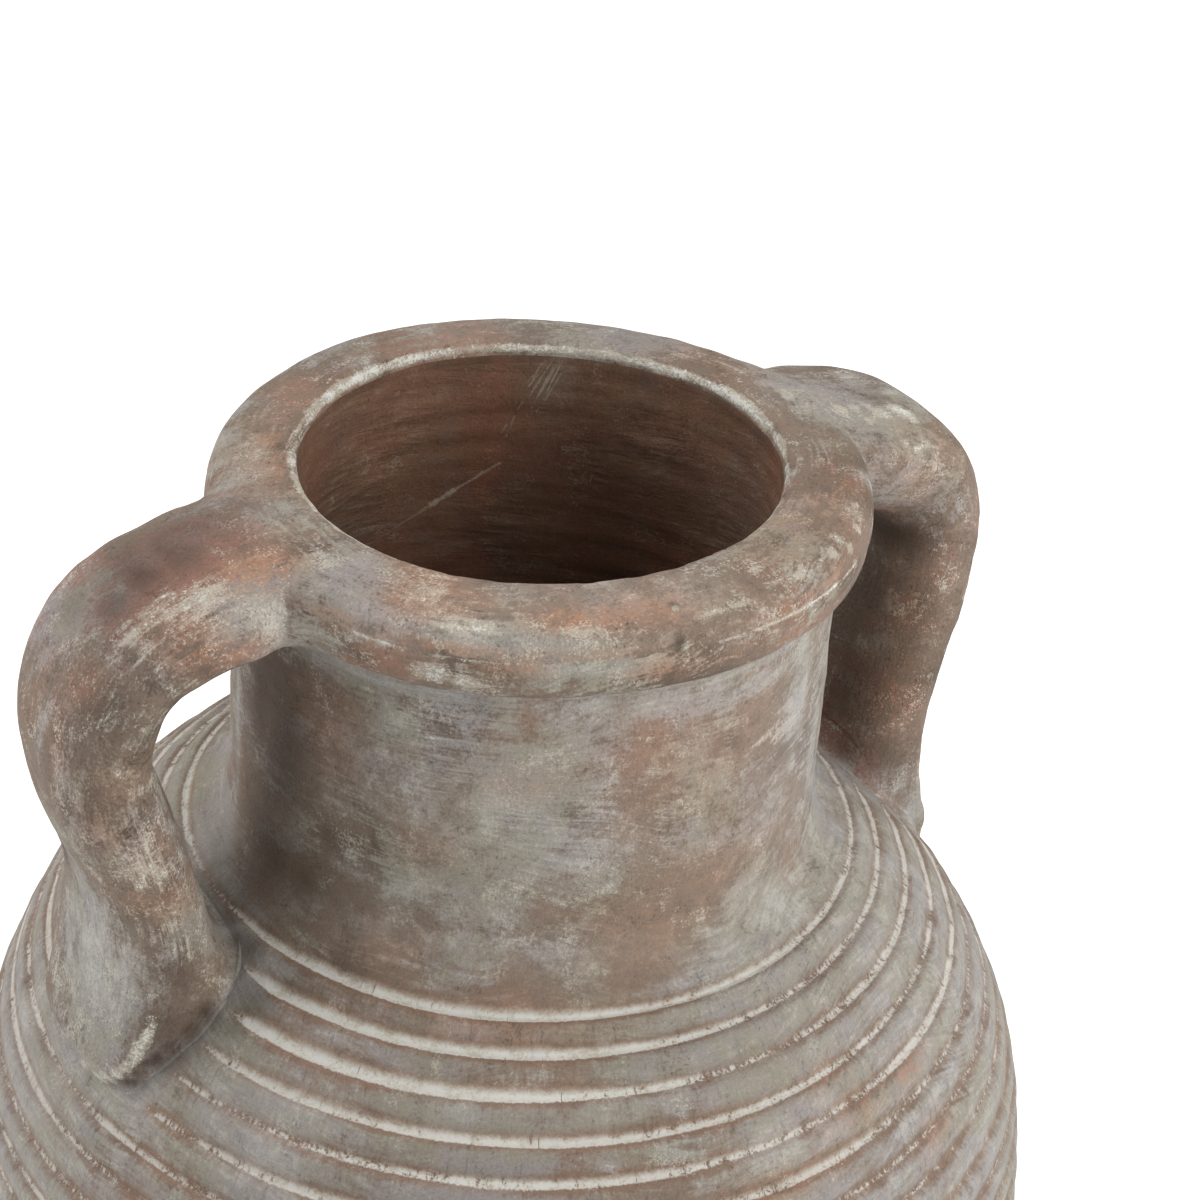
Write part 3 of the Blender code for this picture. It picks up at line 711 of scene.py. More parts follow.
    rough = t.add(0.78, t.mul(pink, 0.03), t.mul(stroke, 0.02), t.mul(crust, 0.10))
    h = t.add(t.mul(pink, 0.065), t.mul(sand, 0.05), t.mul(fine, 0.03), t.mul(stroke, 0.03 + 0.10 * strokes), t.mul(bristle, 0.15),
              t.mul(hairn, 0.06 * hairs), t.mul(crust, 0.35), t.mul(crack, -0.6), t.mul(scratch, 0.25))
    bump = t.node("ShaderNodeBump")
    bump.inputs["Strength"].default_value = 0.7
    bump.inputs["Distance"].default_value = 0.00045
    t.put(bump.inputs["Height"], h)
    bsdf = t.node("ShaderNodeBsdfPrincipled")
    t.put(bsdf.inputs["Base Color"], c)
    t.put(bsdf.inputs["Roughness"], rough)
    bsdf.inputs["Specular IOR Level"].default_value = 0.25
    t.put(bsdf.inputs["Normal"], bump.outputs["Normal"])
    out = t.node("ShaderNodeOutputMaterial")
    t.nt.links.new(bsdf.outputs["BSDF"], out.inputs["Surface"])
    return t.mat


# scratches in the bore: two ends, half width, strength
INNER_CUTS = [
    ((-15.4, 62.0, 354.0), (-8.2, 63.5, 355.7), 0.3825, 0.19),
    ((-8.2, 63.5, 355.7), (-1.6, 63.8, 358.1), 0.3825, 0.19),
    ((-1.6, 63.8, 358.1), (4.6, 63.9, 360.5), 0.3825, 0.19),
    ((4.6, 63.9, 360.5), (9.8, 63.5, 363.1), 0.765, 0.38),
    ((9.8, 63.5, 363.1), (14.9, 62.3, 366.1), 0.85, 0.43),
    ((14.9, 62.3, 366.1), (19.8, 60.7, 369.3), 0.765, 0.37),
    ((19.8, 60.7, 369.3), (23.9, 59.0, 372.1), 0.51, 0.31),
    ((38.6, 51.2, 407.4), (32.6, 55.2, 388.6), 0.24, 0.34),
    ((37.7, 51.8, 406.9), (31.9, 55.5, 391.2), 0.30, 0.28),
    ((37.0, 52.2, 406.4), (31.2, 55.8, 389.9), 0.22, 0.34),
    ((36.0, 53.0, 406.0), (30.7, 56.1, 394.0), 0.28, 0.26),
    ((35.2, 53.5, 405.6), (30.3, 56.2, 396.9), 0.24, 0.32),
    ((34.2, 54.3, 405.0), (30.0, 56.4, 398.2), 0.20, 0.26),
    ((33.1, 55.1, 404.0), (31.0, 55.9, 398.2), 0.26, 0.22),
    ((38.2, 51.6, 402.0), (34.2, 53.6, 392.7), 0.22, 0.20),
    ((28.9, 56.6, 391.9), (24.4, 58.7, 383.6), 0.24, 0.20),
    ((28.1, 57.3, 390.0), (23.7, 59.0, 381.9), 0.20, 0.22),
    ((27.2, 58.0, 387.0), (25.0, 58.5, 380.4), 0.22, 0.20),
]
INSIDE = dict(mid=skin_tone(128, 92, 70), dark=skin_tone(94, 70, 55), red=skin_tone(144, 92, 70), wash=skin_tone(118, 101, 86),
              pale=skin_tone(152, 134, 118), umber=skin_tone(84, 60, 45), lilac=skin_tone(116, 100, 88), olive=skin_tone(122, 104, 82))
STRAP_TINT = dict(red=skin_tone(160, 120, 105), dark=skin_tone(90, 77, 65), umber=skin_tone(76, 58, 46))
MATS = {
    "rim": clay_material("clay_lip", wash=0.86, scum=0.42, red=1.0, dark=0.75, cover=-0.05, grain=1.3, speck=0.70, hairs=0.10, strokes=0.28, dust=0.25, wear=0.25, mottle=0.9, seed=1.0),
    "neck": clay_material("clay_neck", wash=0.88, scum=0.40, red=0.55, dark=0.75, cover=0.12, grain=1.1, speck=0.50, hairs=0.10, strokes=0.25, dust=0.30, wear=0.20, mottle=0.55, seed=2.0),
    "body": clay_material("clay_body", wash=0.88, scum=0.42, red=0.58, dark=0.58, cover=0.55, grain=1.0, speck=0.40, lines=True, hairs=0.26, strokes=0.24, seed=2.0),
    "base": clay_material("clay_base", wash=0.70, scum=0.40, red=0.55, dark=0.55, cover=0.4, speck=0.4, hairs=0.12, strokes=0.25, seed=4.0),
    "handle": clay_material("clay_strap", wash=0.86, scum=0.46, red=1.0, dark=0.85, cover=-0.02, grain=1.5, speck=0.75, hairs=0.10, strokes=0.19, dust=0.50, wear=0.25, mottle=0.8,
                            tint=STRAP_TINT, seed=1.0),
    "lute": clay_material("clay_lute", wash=0.86, scum=0.46, red=1.0, dark=0.85, cover=-0.02, grain=1.5, speck=0.75, hairs=0.10, strokes=0.19, dust=0.45, wear=0.25, mottle=0.8,
                          tint=STRAP_TINT, seed=1.0),
    "inside": clay_material("clay_inside", wash=0.55, scum=0.34, red=0.75, dark=0.65, cover=-0.45, grain=1.4, speck=0.14, hairs=0.05, strokes=0.80, runs=0.8,
                            tint=INSIDE, cuts=INNER_CUTS, seed=6.0),
}


# ----------------------------------------------------------------- where crust, wear, slip, patina and painted shade lie
# kind, place (x, y, z), reach (sideways, up), strength
PATCHES = [
    ("dark", (-114, 3, 401.0), (10, 6), 0.9),
    ("dark", (-104, 2, 405.0), (10, 5), 0.85),
    ("dark", (-123, 0, 397.0), (8, 7), 0.85),
    ("warm", (-60, 41, 408.0), (7, 5), 0.55),
    ("warm", (-68, 30, 407.8), (7, 5), 0.5),
    ("warm", (-67, 23, 408.3), (8, 5), 0.5),
    ("warm", (-77, 20, 407.4), (6, 4), 0.35),
    ("white", (-80, 21, 407.2), (3, 2.5), 0.5),
    ("white", (-66, 42, 407.1), (3, 3), 0.45),
    ("grey", (-112, 8, 402.0), (6, 4), 0.4),
    ("grey", (-101, 5, 406.0), (7, 4), 0.35),
    ("grey", (-121, 1, 397.7), (6, 5), 0.4),
    ("grey", (-92, 6, 408.2), (6, 4), 0.3),
    ("dark", (-117, 5, 400.0), (4, 4), 0.5),
    ("dark", (-108, 1, 403.4), (4, 4), 0.5),
    ("dark", (-100, -1, 406.3), (4, 3), 0.45),
    ("dark", (-124, 3, 396.2), (4, 4), 0.5),
    ("dark", (-116, -3, 400.3), (4, 3), 0.45),
    ("warm", (106, -19, 402.6), (6, 5), 0.3),
    ("warm", (38, -62, 411.6), (10, 8), 0.6),
    ("warm", (50, -56, 411.5), (9, 8), 0.6),
    ("warm", (62, -48, 411.6), (8, 8), 0.5),
    ("warm", (25, -68, 411.6), (9, 6), 0.4),
    ("dark", (43, -63, 411.6), (7, 7), 0.25),
    ("dark", (-4, 71, 410.2), (16, 4), 0.3),
    ("dark", (31, 64, 410.0), (16, 4), 0.32),
    ("dark", (54, 47, 410.2), (16, 4), 0.3),
    ("dark", (-27, 65, 409.6), (12, 4), 0.25),
    ("dark", (-120, 6, 398.3), (9, 6), 0.55),
    ("dark", (-111, 4, 402.2), (9, 6), 0.5),
    ("dark", (-101, 2, 406.0), (10, 6), 0.45),
    ("dark", (-126, 2, 394.4), (7, 7), 0.45),
    ("dark", (-120, -5, 398.4), (6, 5), 0.4),
    ("warm", (95, -28, 396.8), (10, 8), 0.45),
    ("warm", (107, -26, 389.9), (9, 9), 0.45),
    ("warm", (113, -12, 376.7), (9, 5), 0.4),
    ("warm", (117, -24, 396.2), (8, 9), 0.35),
    ("dark", (107, -0, 404.1), (8, 4), 0.3),
    ("dark", (101, -18, 296.1), (9, 9), 0.65),
    ("dark", (105, -24, 293.0), (9, 7), 0.6),
    ("grey", (114, -26, 283.8), (8, 6), 0.7),
    ("grey", (121, -25, 272.7), (6, 8), 0.8),
    ("grey", (108, -26, 287.8), (6, 5), 0.6),
    ("dark", (-114, 9, 401.0), (15, 9), 0.7),
    ("dark", (-99, 9, 406.5), (15, 9), 0.6),
    ("dark", (-84, 12, 408.7), (12, 7), 0.35),
    ("dark", (-120, 8, 398.1), (9, 6), 0.6),
    ("dark", (-106, 7, 404.6), (13, 8), 0.72),
    ("dark", (-92, 8, 408.2), (11, 6), 0.42),
    ("dark", (-128, 11, 392.7), (8, 8), 0.5),
    ("dark", (-131, -9, 389.2), (6, 12), 0.4),
    ("dark", (-130, -24, 378.9), (6, 12), 0.35),
    ("warm", (-140, 5, 373.8), (4, 22), 0.5),
    ("warm", (-142, -6, 365.8), (5, 16), 0.45),
    ("warm", (-137, -21, 346.9), (9, 14), 0.45),
    ("warm", (-125, -25, 332.9), (8, 12), 0.5),
    ("warm", (-132, -24, 359.2), (7, 12), 0.4),
    ("grey", (10, 77, 409.6), (14, 6), 0.45),
    ("grey", (-76, 39, 404.4), (4, 6), 0.55),
    ("grey", (-68, 50, 405.7), (4, 6), 0.55),
    ("grey", (-57, 64, 405.7), (5, 6), 0.5),
    ("warm", (-69, 33, 407.5), (6, 8), 0.4),
    ("warm", (-55, 47, 408.2), (7, 8), 0.4),
    ("warm", (-39, 59, 408.9), (8, 6), 0.35),
    ("warm", (51, -54, 411.7), (8, 10), 0.45),
    ("warm", (64, -42, 411.7), (8, 10), 0.4),
    ("warm", (50, -66, 410.4), (5, 8), 0.4),
    ("white", (59, -58, 410.4), (2, 5), 0.7),
    ("white", (54, -66, 408.5), (2, 5), 0.72),
    ("white", (48, -72, 407.2), (2.5, 4), 0.6),
    ("grey", (-69, -44, 309.2), (22, 6), 0.4),
    ("grey", (-53, -62, 309.8), (24, 6), 0.45),
    ("grey", (-34, -75, 309.8), (24, 6), 0.4),
    ("grey", (30, 72, 409.4), (14, 6), 0.4),
    # painted shade: dark marks over the overhung side face of the left foot's tongue
    ("dark", (-126, -25, 277.0), (4, 4), 0.9),
    ("dark", (-127, -25, 271.2), (4, 3), 1),
    ("dark", (-130, -22, 264.9), (4, 2.5), 1),
    ("dark", (-123, -26, 278.9), (5, 4), 0.85),
    ("dark", (-124, -25, 273.0), (4, 3.5), 1),
    ("dark", (-121, -25, 275.5), (5, 4), 0.95),
    ("dark", (-120, -26, 281.0), (6, 5), 0.65),
    ("dark", (-117, -26, 277.6), (6, 4), 0.8),
    ("dark", (-114, -26, 282.7), (7, 5), 0.6),
    ("white", (-125, -12, 393.5), (5, 4), 0.5),
    ("white", (-122, -13, 395.7), (6, 4), 0.52),
    ("white", (-119, -13, 398.0), (7, 4), 0.58),
    ("white", (-115, -14, 399.7), (7, 4), 0.60),
    ("white", (-111, -14, 401.3), (7, 4), 0.62),
    ("white", (-107, -15, 402.9), (7, 4), 0.58),
    ("white", (-103, -16, 404.0), (6, 3.5), 0.46),
    ("white", (-112, -10, 401.3), (6, 4), 0.48),
    ("white", (-108, -12, 403.1), (6, 4), 0.44),
    ("white", (-124, -18, 392.5), (6, 5), 0.5),
    ("white", (-128, -14, 390.2), (5, 5), 0.42),
    ("white", (-122, -18, 394.7), (5, 4), 0.5),
    ("white", (-133, -16, 383.8), (7, 12), 0.36),
    ("white", (-135, -19, 376.9), (8, 14), 0.36),
    ("white", (-133, -24, 368.3), (6, 10), 0.34),
    ("white", (-127, -24, 357.4), (5, 10), 0.4),
    ("white", (-125, -25, 334.0), (6, 8), 0.64),
    ("white", (-123, -25, 329.5), (5, 6), 0.68),
    ("white", (-128, -25, 329.3), (5, 5), 0.6),
    ("white", (-125, -24, 312.1), (6, 6), 0.6),
    ("white", (-120, -26, 314.7), (5, 3), 0.68),
    ("white", (-116, -27, 307.7), (4, 5), 0.66),
    ("white", (-115, -27, 303.8), (3, 3), 0.6),
    ("white", (-134, -9, 258.2), (3.2, 2.4), 0.95),
    ("white", (-134, -13, 261.0), (3.4, 2.6), 1),
    ("white", (-134, -17, 263.6), (3.4, 2.4), 1),
    ("white", (-133, -20, 266.6), (3.2, 2.2), 1),
    ("white", (-132, -22, 269.1), (2.9, 2.0), 1),
    ("white", (-131, -23, 271.0), (2.6, 2), 0.98),
    ("white", (-129, -23, 273.0), (2.4, 2.2), 0.95),
    ("white", (-129, -24, 275.2), (2.3, 2.4), 0.92),
    ("white", (-128, -24, 277.2), (2.2, 2.4), 0.88),
    ("white", (-127, -25, 279.4), (2.2, 2.4), 0.84),
    ("white", (-126, -25, 281.6), (2, 2.4), 0.8),
    ("white", (-125, -25, 283.8), (2, 2.4), 0.74),
    ("white", (-125, -25, 286.0), (2, 2.4), 0.66),
    ("white", (-51, -62, 332.6), (4, 2), 0.5),
    ("white", (-47, -66, 330.9), (5, 2.2), 0.55),
    ("white", (-43, -69, 328.8), (5, 2.2), 0.55),
    ("white", (-39, -71, 326.1), (5, 2), 0.5),
    ("grey", (21, -78, 312.3), (9, 6), 0.8),
    ("grey", (29, -80, 303.1), (9, 6), 0.8),
    ("white", (-71, -38, 379.1), (4, 2), 0.45),
    ("white", (-133, 19, 269.0), (2.5, 6), 0.6),
    ("white", (-132, 18, 275.4), (2.5, 5), 0.5),
    ("white", (-134, 9, 263.9), (2, 4), 0.5),
    ("white", (-134, -1, 256.5), (3, 2), 0.7),
    # painted shade: more dark marks on the left foot's shaded side face
    ("dark", (-111, -27, 284.0), (5, 5), 1),
    ("dark", (-115, -26, 279.1), (5, 5), 1),
    ("dark", (-120, -26, 275.0), (5, 5), 1),
    ("dark", (-124, -25, 271.6), (5, 4), 1),
    ("dark", (-128, -23, 268.0), (3.5, 3), 1),
    # painted shadow in the crevice where the left foot's collar meets the shoulder
    ("dark", (-93, -8, 296.9), (5, 6), 0.7),
    ("dark", (-97, -16, 295.0), (4, 6), 0.7),
    ("dark", (-100, -23, 292.4), (4, 6), 0.6),
    ("white", (91, -8, 407.1), (3, 2), 0.8),
    ("white", (96, -8, 406.3), (3, 2), 0.85),
    ("white", (101, -7, 405.3), (3, 2), 0.85),
    ("white", (103, -11, 404.8), (4, 3), 0.85),
    ("white", (109, -9, 403.9), (4, 2.5), 0.9),
    ("white", (111, -11, 403.0), (4, 3), 0.9),
    ("white", (112, -15, 402.2), (3, 2.5), 0.7),
    ("white", (103, -23, 401.7), (3, 2), 0.6),
    ("white", (106, -25, 399.3), (3, 2), 0.75),
    ("white", (110, -24, 399.4), (2.5, 3), 0.7),
    ("white", (96, -15, 405.6), (3, 2), 0.6),
    ("grey", (102, -17, 403.9), (14, 8), 0.28),
    ("grey", (98, -27, 398.9), (16, 12), 0.12),
    ("grey", (109, -26, 389.4), (12, 12), 0.1),
    # painted highlight: cream marks along the lip's outer edge where it catches the light
    ("white", (45, -70, 409.9), (3, 5), 0.7),
    ("white", (40, -74, 409.6), (3, 4), 0.75),
    ("white", (35, -77, 409.4), (4, 3), 0.7),
    ("white", (28, -79, 409.5), (5, 3), 0.65),
    ("warm", (60, 23, 390.0), (10, 8), 0.4),
    ("warm", (-104, -12, 404.2), (9, 5), 0.7),
    ("warm", (-97, -12, 405.5), (9, 5), 0.95),
    ("warm", (-90, -14, 406.1), (9, 5), 1),
    ("warm", (-86, -16, 406.9), (7, 5), 0.9),
    ("warm", (-111, -21, 399.4), (12, 7), 0.6),
    ("grey", (-100, -24, 400.0), (10, 8), 0.8),
    ("grey", (-93, -25, 399.7), (10, 9), 0.8),
    ("grey", (-88, -27, 391.9), (11, 8), 0.9),
    ("grey", (-77, -25, 383.4), (12, 6), 0.8),
    ("dark", (-86, -25, 402.1), (2.4, 5.5), 1),
    ("dark", (-119, -0, 399.9), (12, 8), 0.6),
    ("grey", (-126, 13, 395.8), (12, 8), 0.45),
    ("white", (-129, -15, 391.0), (7, 5), 0.42),
    ("dark", (-134, -20, 381.9), (8, 18), 0.6),
    ("warm", (-143, -7, 371.0), (6, 24), 0.45),
    ("grey", (-144, 2, 369.1), (3, 14), 0.7),
    ("warm", (-108, -26, 392.9), (14, 4), 0.8),
    ("warm", (-125, -25, 322.3), (16, 7), 0.5),
    ("grey", (-131, -4, 292.2), (15, 22), 1),
    ("grey", (-131, 10, 294.0), (9, 14), 0.8),
    ("grey", (-130, -16, 291.8), (8, 16), 0.9),
    # painted shade on the left foot's side face
    ("dark", (-121, -28, 281.0), (9, 11), 0.9),
    ("dark", (-118, -27, 298.8), (7, 14), 0.7),
    # dark patina on the neck behind the left strap, partly painted shade from the strap
    ("dark", (-82, -6, 309.2), (15, 20), 0.75),
    ("dark", (-80, -11, 344.0), (12, 26), 0.7),
    ("dark", (-81, 2, 355.5), (7, 16), 0.6),
    ("dark", (-79, -18, 310.3), (14, 12), 0.6),
    ("warm", (-76, -27, 360.4), (8, 18), 0.5),
    ("warm", (-79, -18, 366.5), (6, 10), 0.45),
    ("grey", (-79, 19, 338.5), (3, 22), 0.6),
    ("grey", (-68, -44, 369.8), (8, 8), 0.5),
    ("grey", (-76, -27, 343.7), (10, 9), 0.45),
    ("grey", (-61, -54, 385.3), (24, 5), 0.55),
    ("grey", (-54, -60, 354.0), (34, 16), 0.55),
    ("grey", (-35, -73, 340.7), (24, 14), 0.5),
    ("grey", (-62, -52, 320.4), (22, 10), 0.6),
    ("grey", (-28, -75, 379.5), (14, 10), 0.35),
    ("warm", (-44, -67, 360.2), (14, 6), 0.35),
    ("warm", (-61, -53, 336.8), (10, 8), 0.3),
    ("warm", (-2, -80, 362.8), (24, 22), 0.3),
    ("warm", (11, -80, 324.3), (22, 14), 0.35),
    ("warm", (-13, -80, 312.9), (18, 9), 0.4),
    ("warm", (-70, -45, 305.7), (12, 8), 0.4),
    ("white", (-50, -64, 329.0), (6, 6), 0.42),
    ("white", (-60, -54, 371.9), (12, 10), 0.28),
    ("white", (-36, -72, 365.0), (10, 8), 0.26),
    ("white", (25, -76, 361.3), (9, 10), 0.3),
    ("grey", (38, -71, 363.6), (8, 22), 1),
    ("grey", (52, -62, 338.4), (6, 20), 1),
    ("grey", (29, -75, 337.4), (12, 14), 0.5),
    ("grey", (14, -79, 378.5), (20, 4), 0.7),
    ("grey", (-15, -79, 382.2), (22, 4), 0.7),
    ("grey", (34, -79, 302.5), (11, 9), 1),
    ("grey", (12, -89, 300.2), (16, 6), 0.6),
    ("grey", (3, -124, 268.1), (12, 5), 1),
    ("grey", (22, -123, 268.2), (7, 6), 0.9),
    ("grey", (55, -93, 287.5), (8, 8), 0.6),
    ("grey", (65, -118, 256.8), (10, 14), 0.7),
    ("grey", (82, -117, 238.8), (8, 24), 0.8),
    ("grey", (-72, -90, 281.8), (10, 4), 0.7),
    ("warm", (55, -116, 266.9), (9, 4), 0.8),
    ("warm", (31, -123, 267.3), (12, 4), 0.7),
    ("warm", (60, -123, 249.0), (9, 5), 0.6),
    ("warm", (2, -131, 259.5), (16, 4), 0.6),
    ("warm", (24, -116, 275.5), (9, 3), 0.4),
    ("warm", (-59, -78, 295.7), (26, 4), 0.4),
    ("grey", (-49, -104, 281.6), (22, 5), 0.4),
    ("grey", (-27, -106, 284.3), (14, 5), 0.4),
    ("grey", (-102, -64, 275.5), (14, 6), 0.6),
    ("grey", (-115, -62, 262.7), (16, 8), 0.6),
    ("grey", (-91, -59, 287.6), (12, 5), 0.4),
    ("grey", (-134, 34, 250.0), (8, 24), 0.7),
    ("grey", (-116, -40, 273.0), (14, 8), 0.6),
    # painted shadow in the crevice beside the left foot
    ("dark", (-102, -36, 287.7), (8, 10), 0.5),
    ("dark", (-96, -21, 294.9), (6, 8), 0.6),
    ("warm", (-61, -48, 408.6), (12, 4), 0.9),
    ("warm", (-55, -53, 409.1), (8, 3.5), 0.8),
    ("white", (-62, -47, 408.5), (12, 3), 0.5),
    ("white", (-56, -54, 408.8), (10, 3), 0.42),
    ("white", (-62, -59, 406.5), (6, 1.3), 0.95),
    ("white", (-56, -63, 407.1), (6, 1.3), 0.95),
    ("grey", (-59, -64, 404.8), (30, 3.5), 0.8),
    ("grey", (-73, -49, 401.7), (12, 4), 0.6),
    ("warm", (-52, -71, 399.1), (9, 2.2), 0.95),
    ("white", (-66, -58, 394.5), (9, 4), 0.72),
    ("white", (-59, -65, 393.7), (9, 3), 0.74),
    ("warm", (-36, -72, 409.2), (12, 2.6), 0.9),
    ("warm", (-25, -77, 409.5), (12, 2.6), 0.95),
    ("warm", (-14, -80, 409.7), (12, 2.6), 0.85),
    ("white", (-34, -78, 407.6), (9, 0.9), 0.5),
    ("white", (-24, -81, 407.5), (8, 0.9), 0.5),
    ("white", (2, -84, 408.6), (14, 1.1), 0.55),
    ("dark", (-11, -79, 410.2), (1.2, 5), 1),
    ("white", (-11, -80, 410.0), (1.6, 4.5), 0.75),
    ("dark", (-13, -86, 403.8), (2, 3.2), 0.9),
    ("white", (-11, -86, 402.9), (1.8, 2.8), 0.6),
    ("white", (2, -87, 401.9), (12, 0.9), 0.5),
    ("white", (20, -85, 399.8), (12, 0.9), 0.52),
    ("warm", (-16, -86, 397.5), (12, 4), 0.6),
    ("warm", (1, -88, 397.4), (12, 4), 0.4),
    ("grey", (-36, -80, 399.2), (13, 1.8), 0.9),
    ("grey", (-25, -68, 410.4), (10, 3), 0.6),
    ("grey", (-6, -78, 410.5), (10, 3), 0.5),
    ("grey", (-39, -57, 410.1), (14, 3), 0.4),
    ("white", (57, -61, 410.0), (4, 5), 0.55),
    ("white", (15, -82, 409.5), (9, 2), 0.4),
    ("white", (-79, 35, 404.0), (5, 5), 0.5),
    ("grey", (-80, 27, 405.7), (7, 4), 0.7),
    ("white", (-54, 63, 406.4), (6, 4), 0.35),
    ("grey", (16, 76, 408.3), (30, 6), 0.3),
    ("grey", (54, 52, 410.0), (24, 6), 0.4),
    ("warm", (-69, 38, 406.9), (10, 8), 0.35),
    ("grey", (-77, 3, 409.1), (10, 8), 0.5),
    ("grey", (-85, 21, 406.1), (14, 6), 0.4),
    ("grey", (83, -26, 407.9), (4, 7), 0.8),
    ("grey", (72, -47, 408.8), (3.5, 9), 0.9),
    ("grey", (120, 1, 404.0), (12, 6), 0.5),
    ("grey", (106, -27, 393.8), (12, 10), 0.1),
    ("grey", (115, -23, 399.3), (10, 10), 0.1),
    ("warm", (98, -27, 399.0), (8, 9), 0.3),
    ("grey", (130, -23, 366.8), (4, 18), 0.15),
    ("warm", (126, -23, 357.7), (5, 14), 0.3),
    # painted shade: dark marks over the inner face of the right strap, which faces the neck, down to its foot
    ("dark", (116, -7, 361.8), (12, 6), 1),
    ("dark", (117, -14, 365.1), (8, 6), 0.7),
    ("dark", (111, -7, 339.4), (12, 18), 0.62),
    ("dark", (106, -11, 315.7), (12, 20), 0.6),
    ("dark", (109, -23, 294.0), (14, 10), 0.6),
    ("dark", (115, -21, 332.7), (10, 24), 0.4),
    ("warm", (113, -20, 345.0), (12, 22), 0.65),
    ("warm", (112, -23, 317.7), (8, 16), 0.7),
    ("grey", (117, -28, 285.3), (8, 6), 0.5),
    ("grey", (84, 2, 412.5), (14, 5), 0.45),
    ("warm", (67, 26, 411.1), (20, 5), 0.4),
    ("grey", (38, 52, 401.8), (4, 12), 0.6),
    ("grey", (34, 54, 395.8), (4, 10), 0.5),
    ("warm", (57, 29, 387.0), (12, 12), 0.35),
    ("warm", (-14, 63, 386.4), (14, 14), 0.35),
]


def patches(p, kind):
    out = np.zeros(p.shape[:-1])
    for k, place, reach, strength in PATCHES:
        if k != kind:
            continue
        d = p - np.array(place, float)
        w = np.exp(-(np.hypot(d[..., 0], d[..., 1]) / reach[0]) ** 2 - (d[..., 2] / reach[1]) ** 2)
        out = np.maximum(out, strength * w)
    return out


# ----------------------------------------------------------------- the turned pieces
THETA = 2.0 * np.pi * np.arange(COLS) / COLS + np.pi / 2
COS, SIN = np.cos(THETA), np.sin(THETA)


def rings(r, d):
    r, d = np.asarray(r, float), np.asarray(d, float)
    p = np.empty((len(r), COLS, 3))
    p[..., 0] = r[:, None] * COS
    p[..., 1] = r[:, None] * SIN
    p[..., 2] = (HEIGHT - d)[:, None]
    return p


def build_outside():
    p = rings(ROW_R, ROW_D)
    n = grid_normals(p)
    n[ROW_D >= 409.99] = (0.0, 0.0, -1.0)
    move = np.zeros(p.shape[:-1])
    near = ROW_D < 62.0
    for st in STRAPS.values():
        move[near] = np.maximum(move[near], 0) + 0.0
        dl = settle(p[near], n[near], pot_dist, st.dist, ROOT_FILLET, 0.8)
        move[near] = np.where(np.abs(dl) > np.abs(move[near]), dl, move[near])
    gap = np.full(p.shape[:-1], 99.0)
    low = (ROW_D > 100.0) & (ROW_D < 215.0)
    for st in STRAPS.values():
        gap[low] = np.minimum(gap[low], st.dist(p[low]))
    calm = smooth(gap, 5.0, 15.0)
    vary = 1.0 + 0.16 * noise(p, 38.0, 31) + 0.08 * noise(p, 11.0, 32)
    side = np.degrees(THETA)
    beside = [np.exp(-(((side - c + 180.0) % 360.0 - 180.0) / 26.0) ** 2) for c in (-34.0, 146.0)]
    flank = beside[0] + beside[1]
    relief = RIB_H * (rib_height(ROW_RIB) * ROW_ON)[:, None] * (0.22 + 0.78 * calm) * vary * (1.0 - 0.5 * flank)[None, :]
    relief += ROW_ON[:, None] * (0.48 * beside[0] + 0.15 * beside[1])[None, :] * calm
    # lathe lines on the lip's face
    lines = -0.30 * bump1(ROW_D, 9.6, 0.8) * (ROW_R > 86) - 0.22 * bump1(ROW_D, 15.2, 0.7) * (ROW_R > 86)
    relief += lines[:, None] * (0.7 + 0.6 * noise(p, 20.0, 33))
    # chipped mouth edge
    edge = np.clip(1.0 - np.abs(ROW_R - 65.3) / 2.2, 0, 1) * (ROW_D < 4.0)
    chips = np.maximum(noise(p, 6.0, 34) - 0.25, 0) + 0.7 * np.maximum(noise(p, 2.6, 35) - 0.3, 0)
    relief -= 0.6 * edge[:, None] * chips
    skin = grain(p) * np.where(ROW_D > 409.0, 0.0, 1.0)[:, None]
    p2 = warp(p + n * (move + relief + skin)[..., None])
    p2[ROW_D >= 409.99, :, 2] = 0.0
    return p, p2, grid_normals(p2), gap


P_RAW, P_OUT, N_OUT, FOOT_GAP = build_outside()


def line_weight(az, deep):
    """How full the cream lines of the shoulder are: full on one broad face, thinner round the pot and further down."""
    turn = (np.degrees(az) + 128.0 + 180.0) % 360.0 - 180.0
    off = np.abs(turn)
    full = 0.46 + 0.54 * np.exp(-(off / np.where(turn < 0.0, 27.0, 21.0)) ** 2) + 0.26 * np.exp(-((180.0 - off) / 50.0) ** 4)
    worn = smooth(turn, 18.0, 46.0) * (1.0 - smooth(turn, 100.0, 130.0)) * smooth(deep, 146.0, 166.0)
    thin = smooth(-turn, 4.0, 24.0) * (1.0 - smooth(-turn, 32.0, 46.0)) * (smooth(deep, 128.0, 136.0) + 0.5 * smooth(deep, 136.0, 152.0))
    first = (1.0 - smooth(deep, 126.0, 131.0)) * np.exp(-((turn + 26.0) / 14.0) ** 2)
    lower = smooth(deep, 124.0, 135.0) * np.exp(-(off / 30.0) ** 2)
    return full * (1.0 - 0.22 * smooth(deep, 138.0, 175.0)) * (1.0 - 0.38 * lower) - 0.22 * worn - 0.11 * thin + 0.28 * first


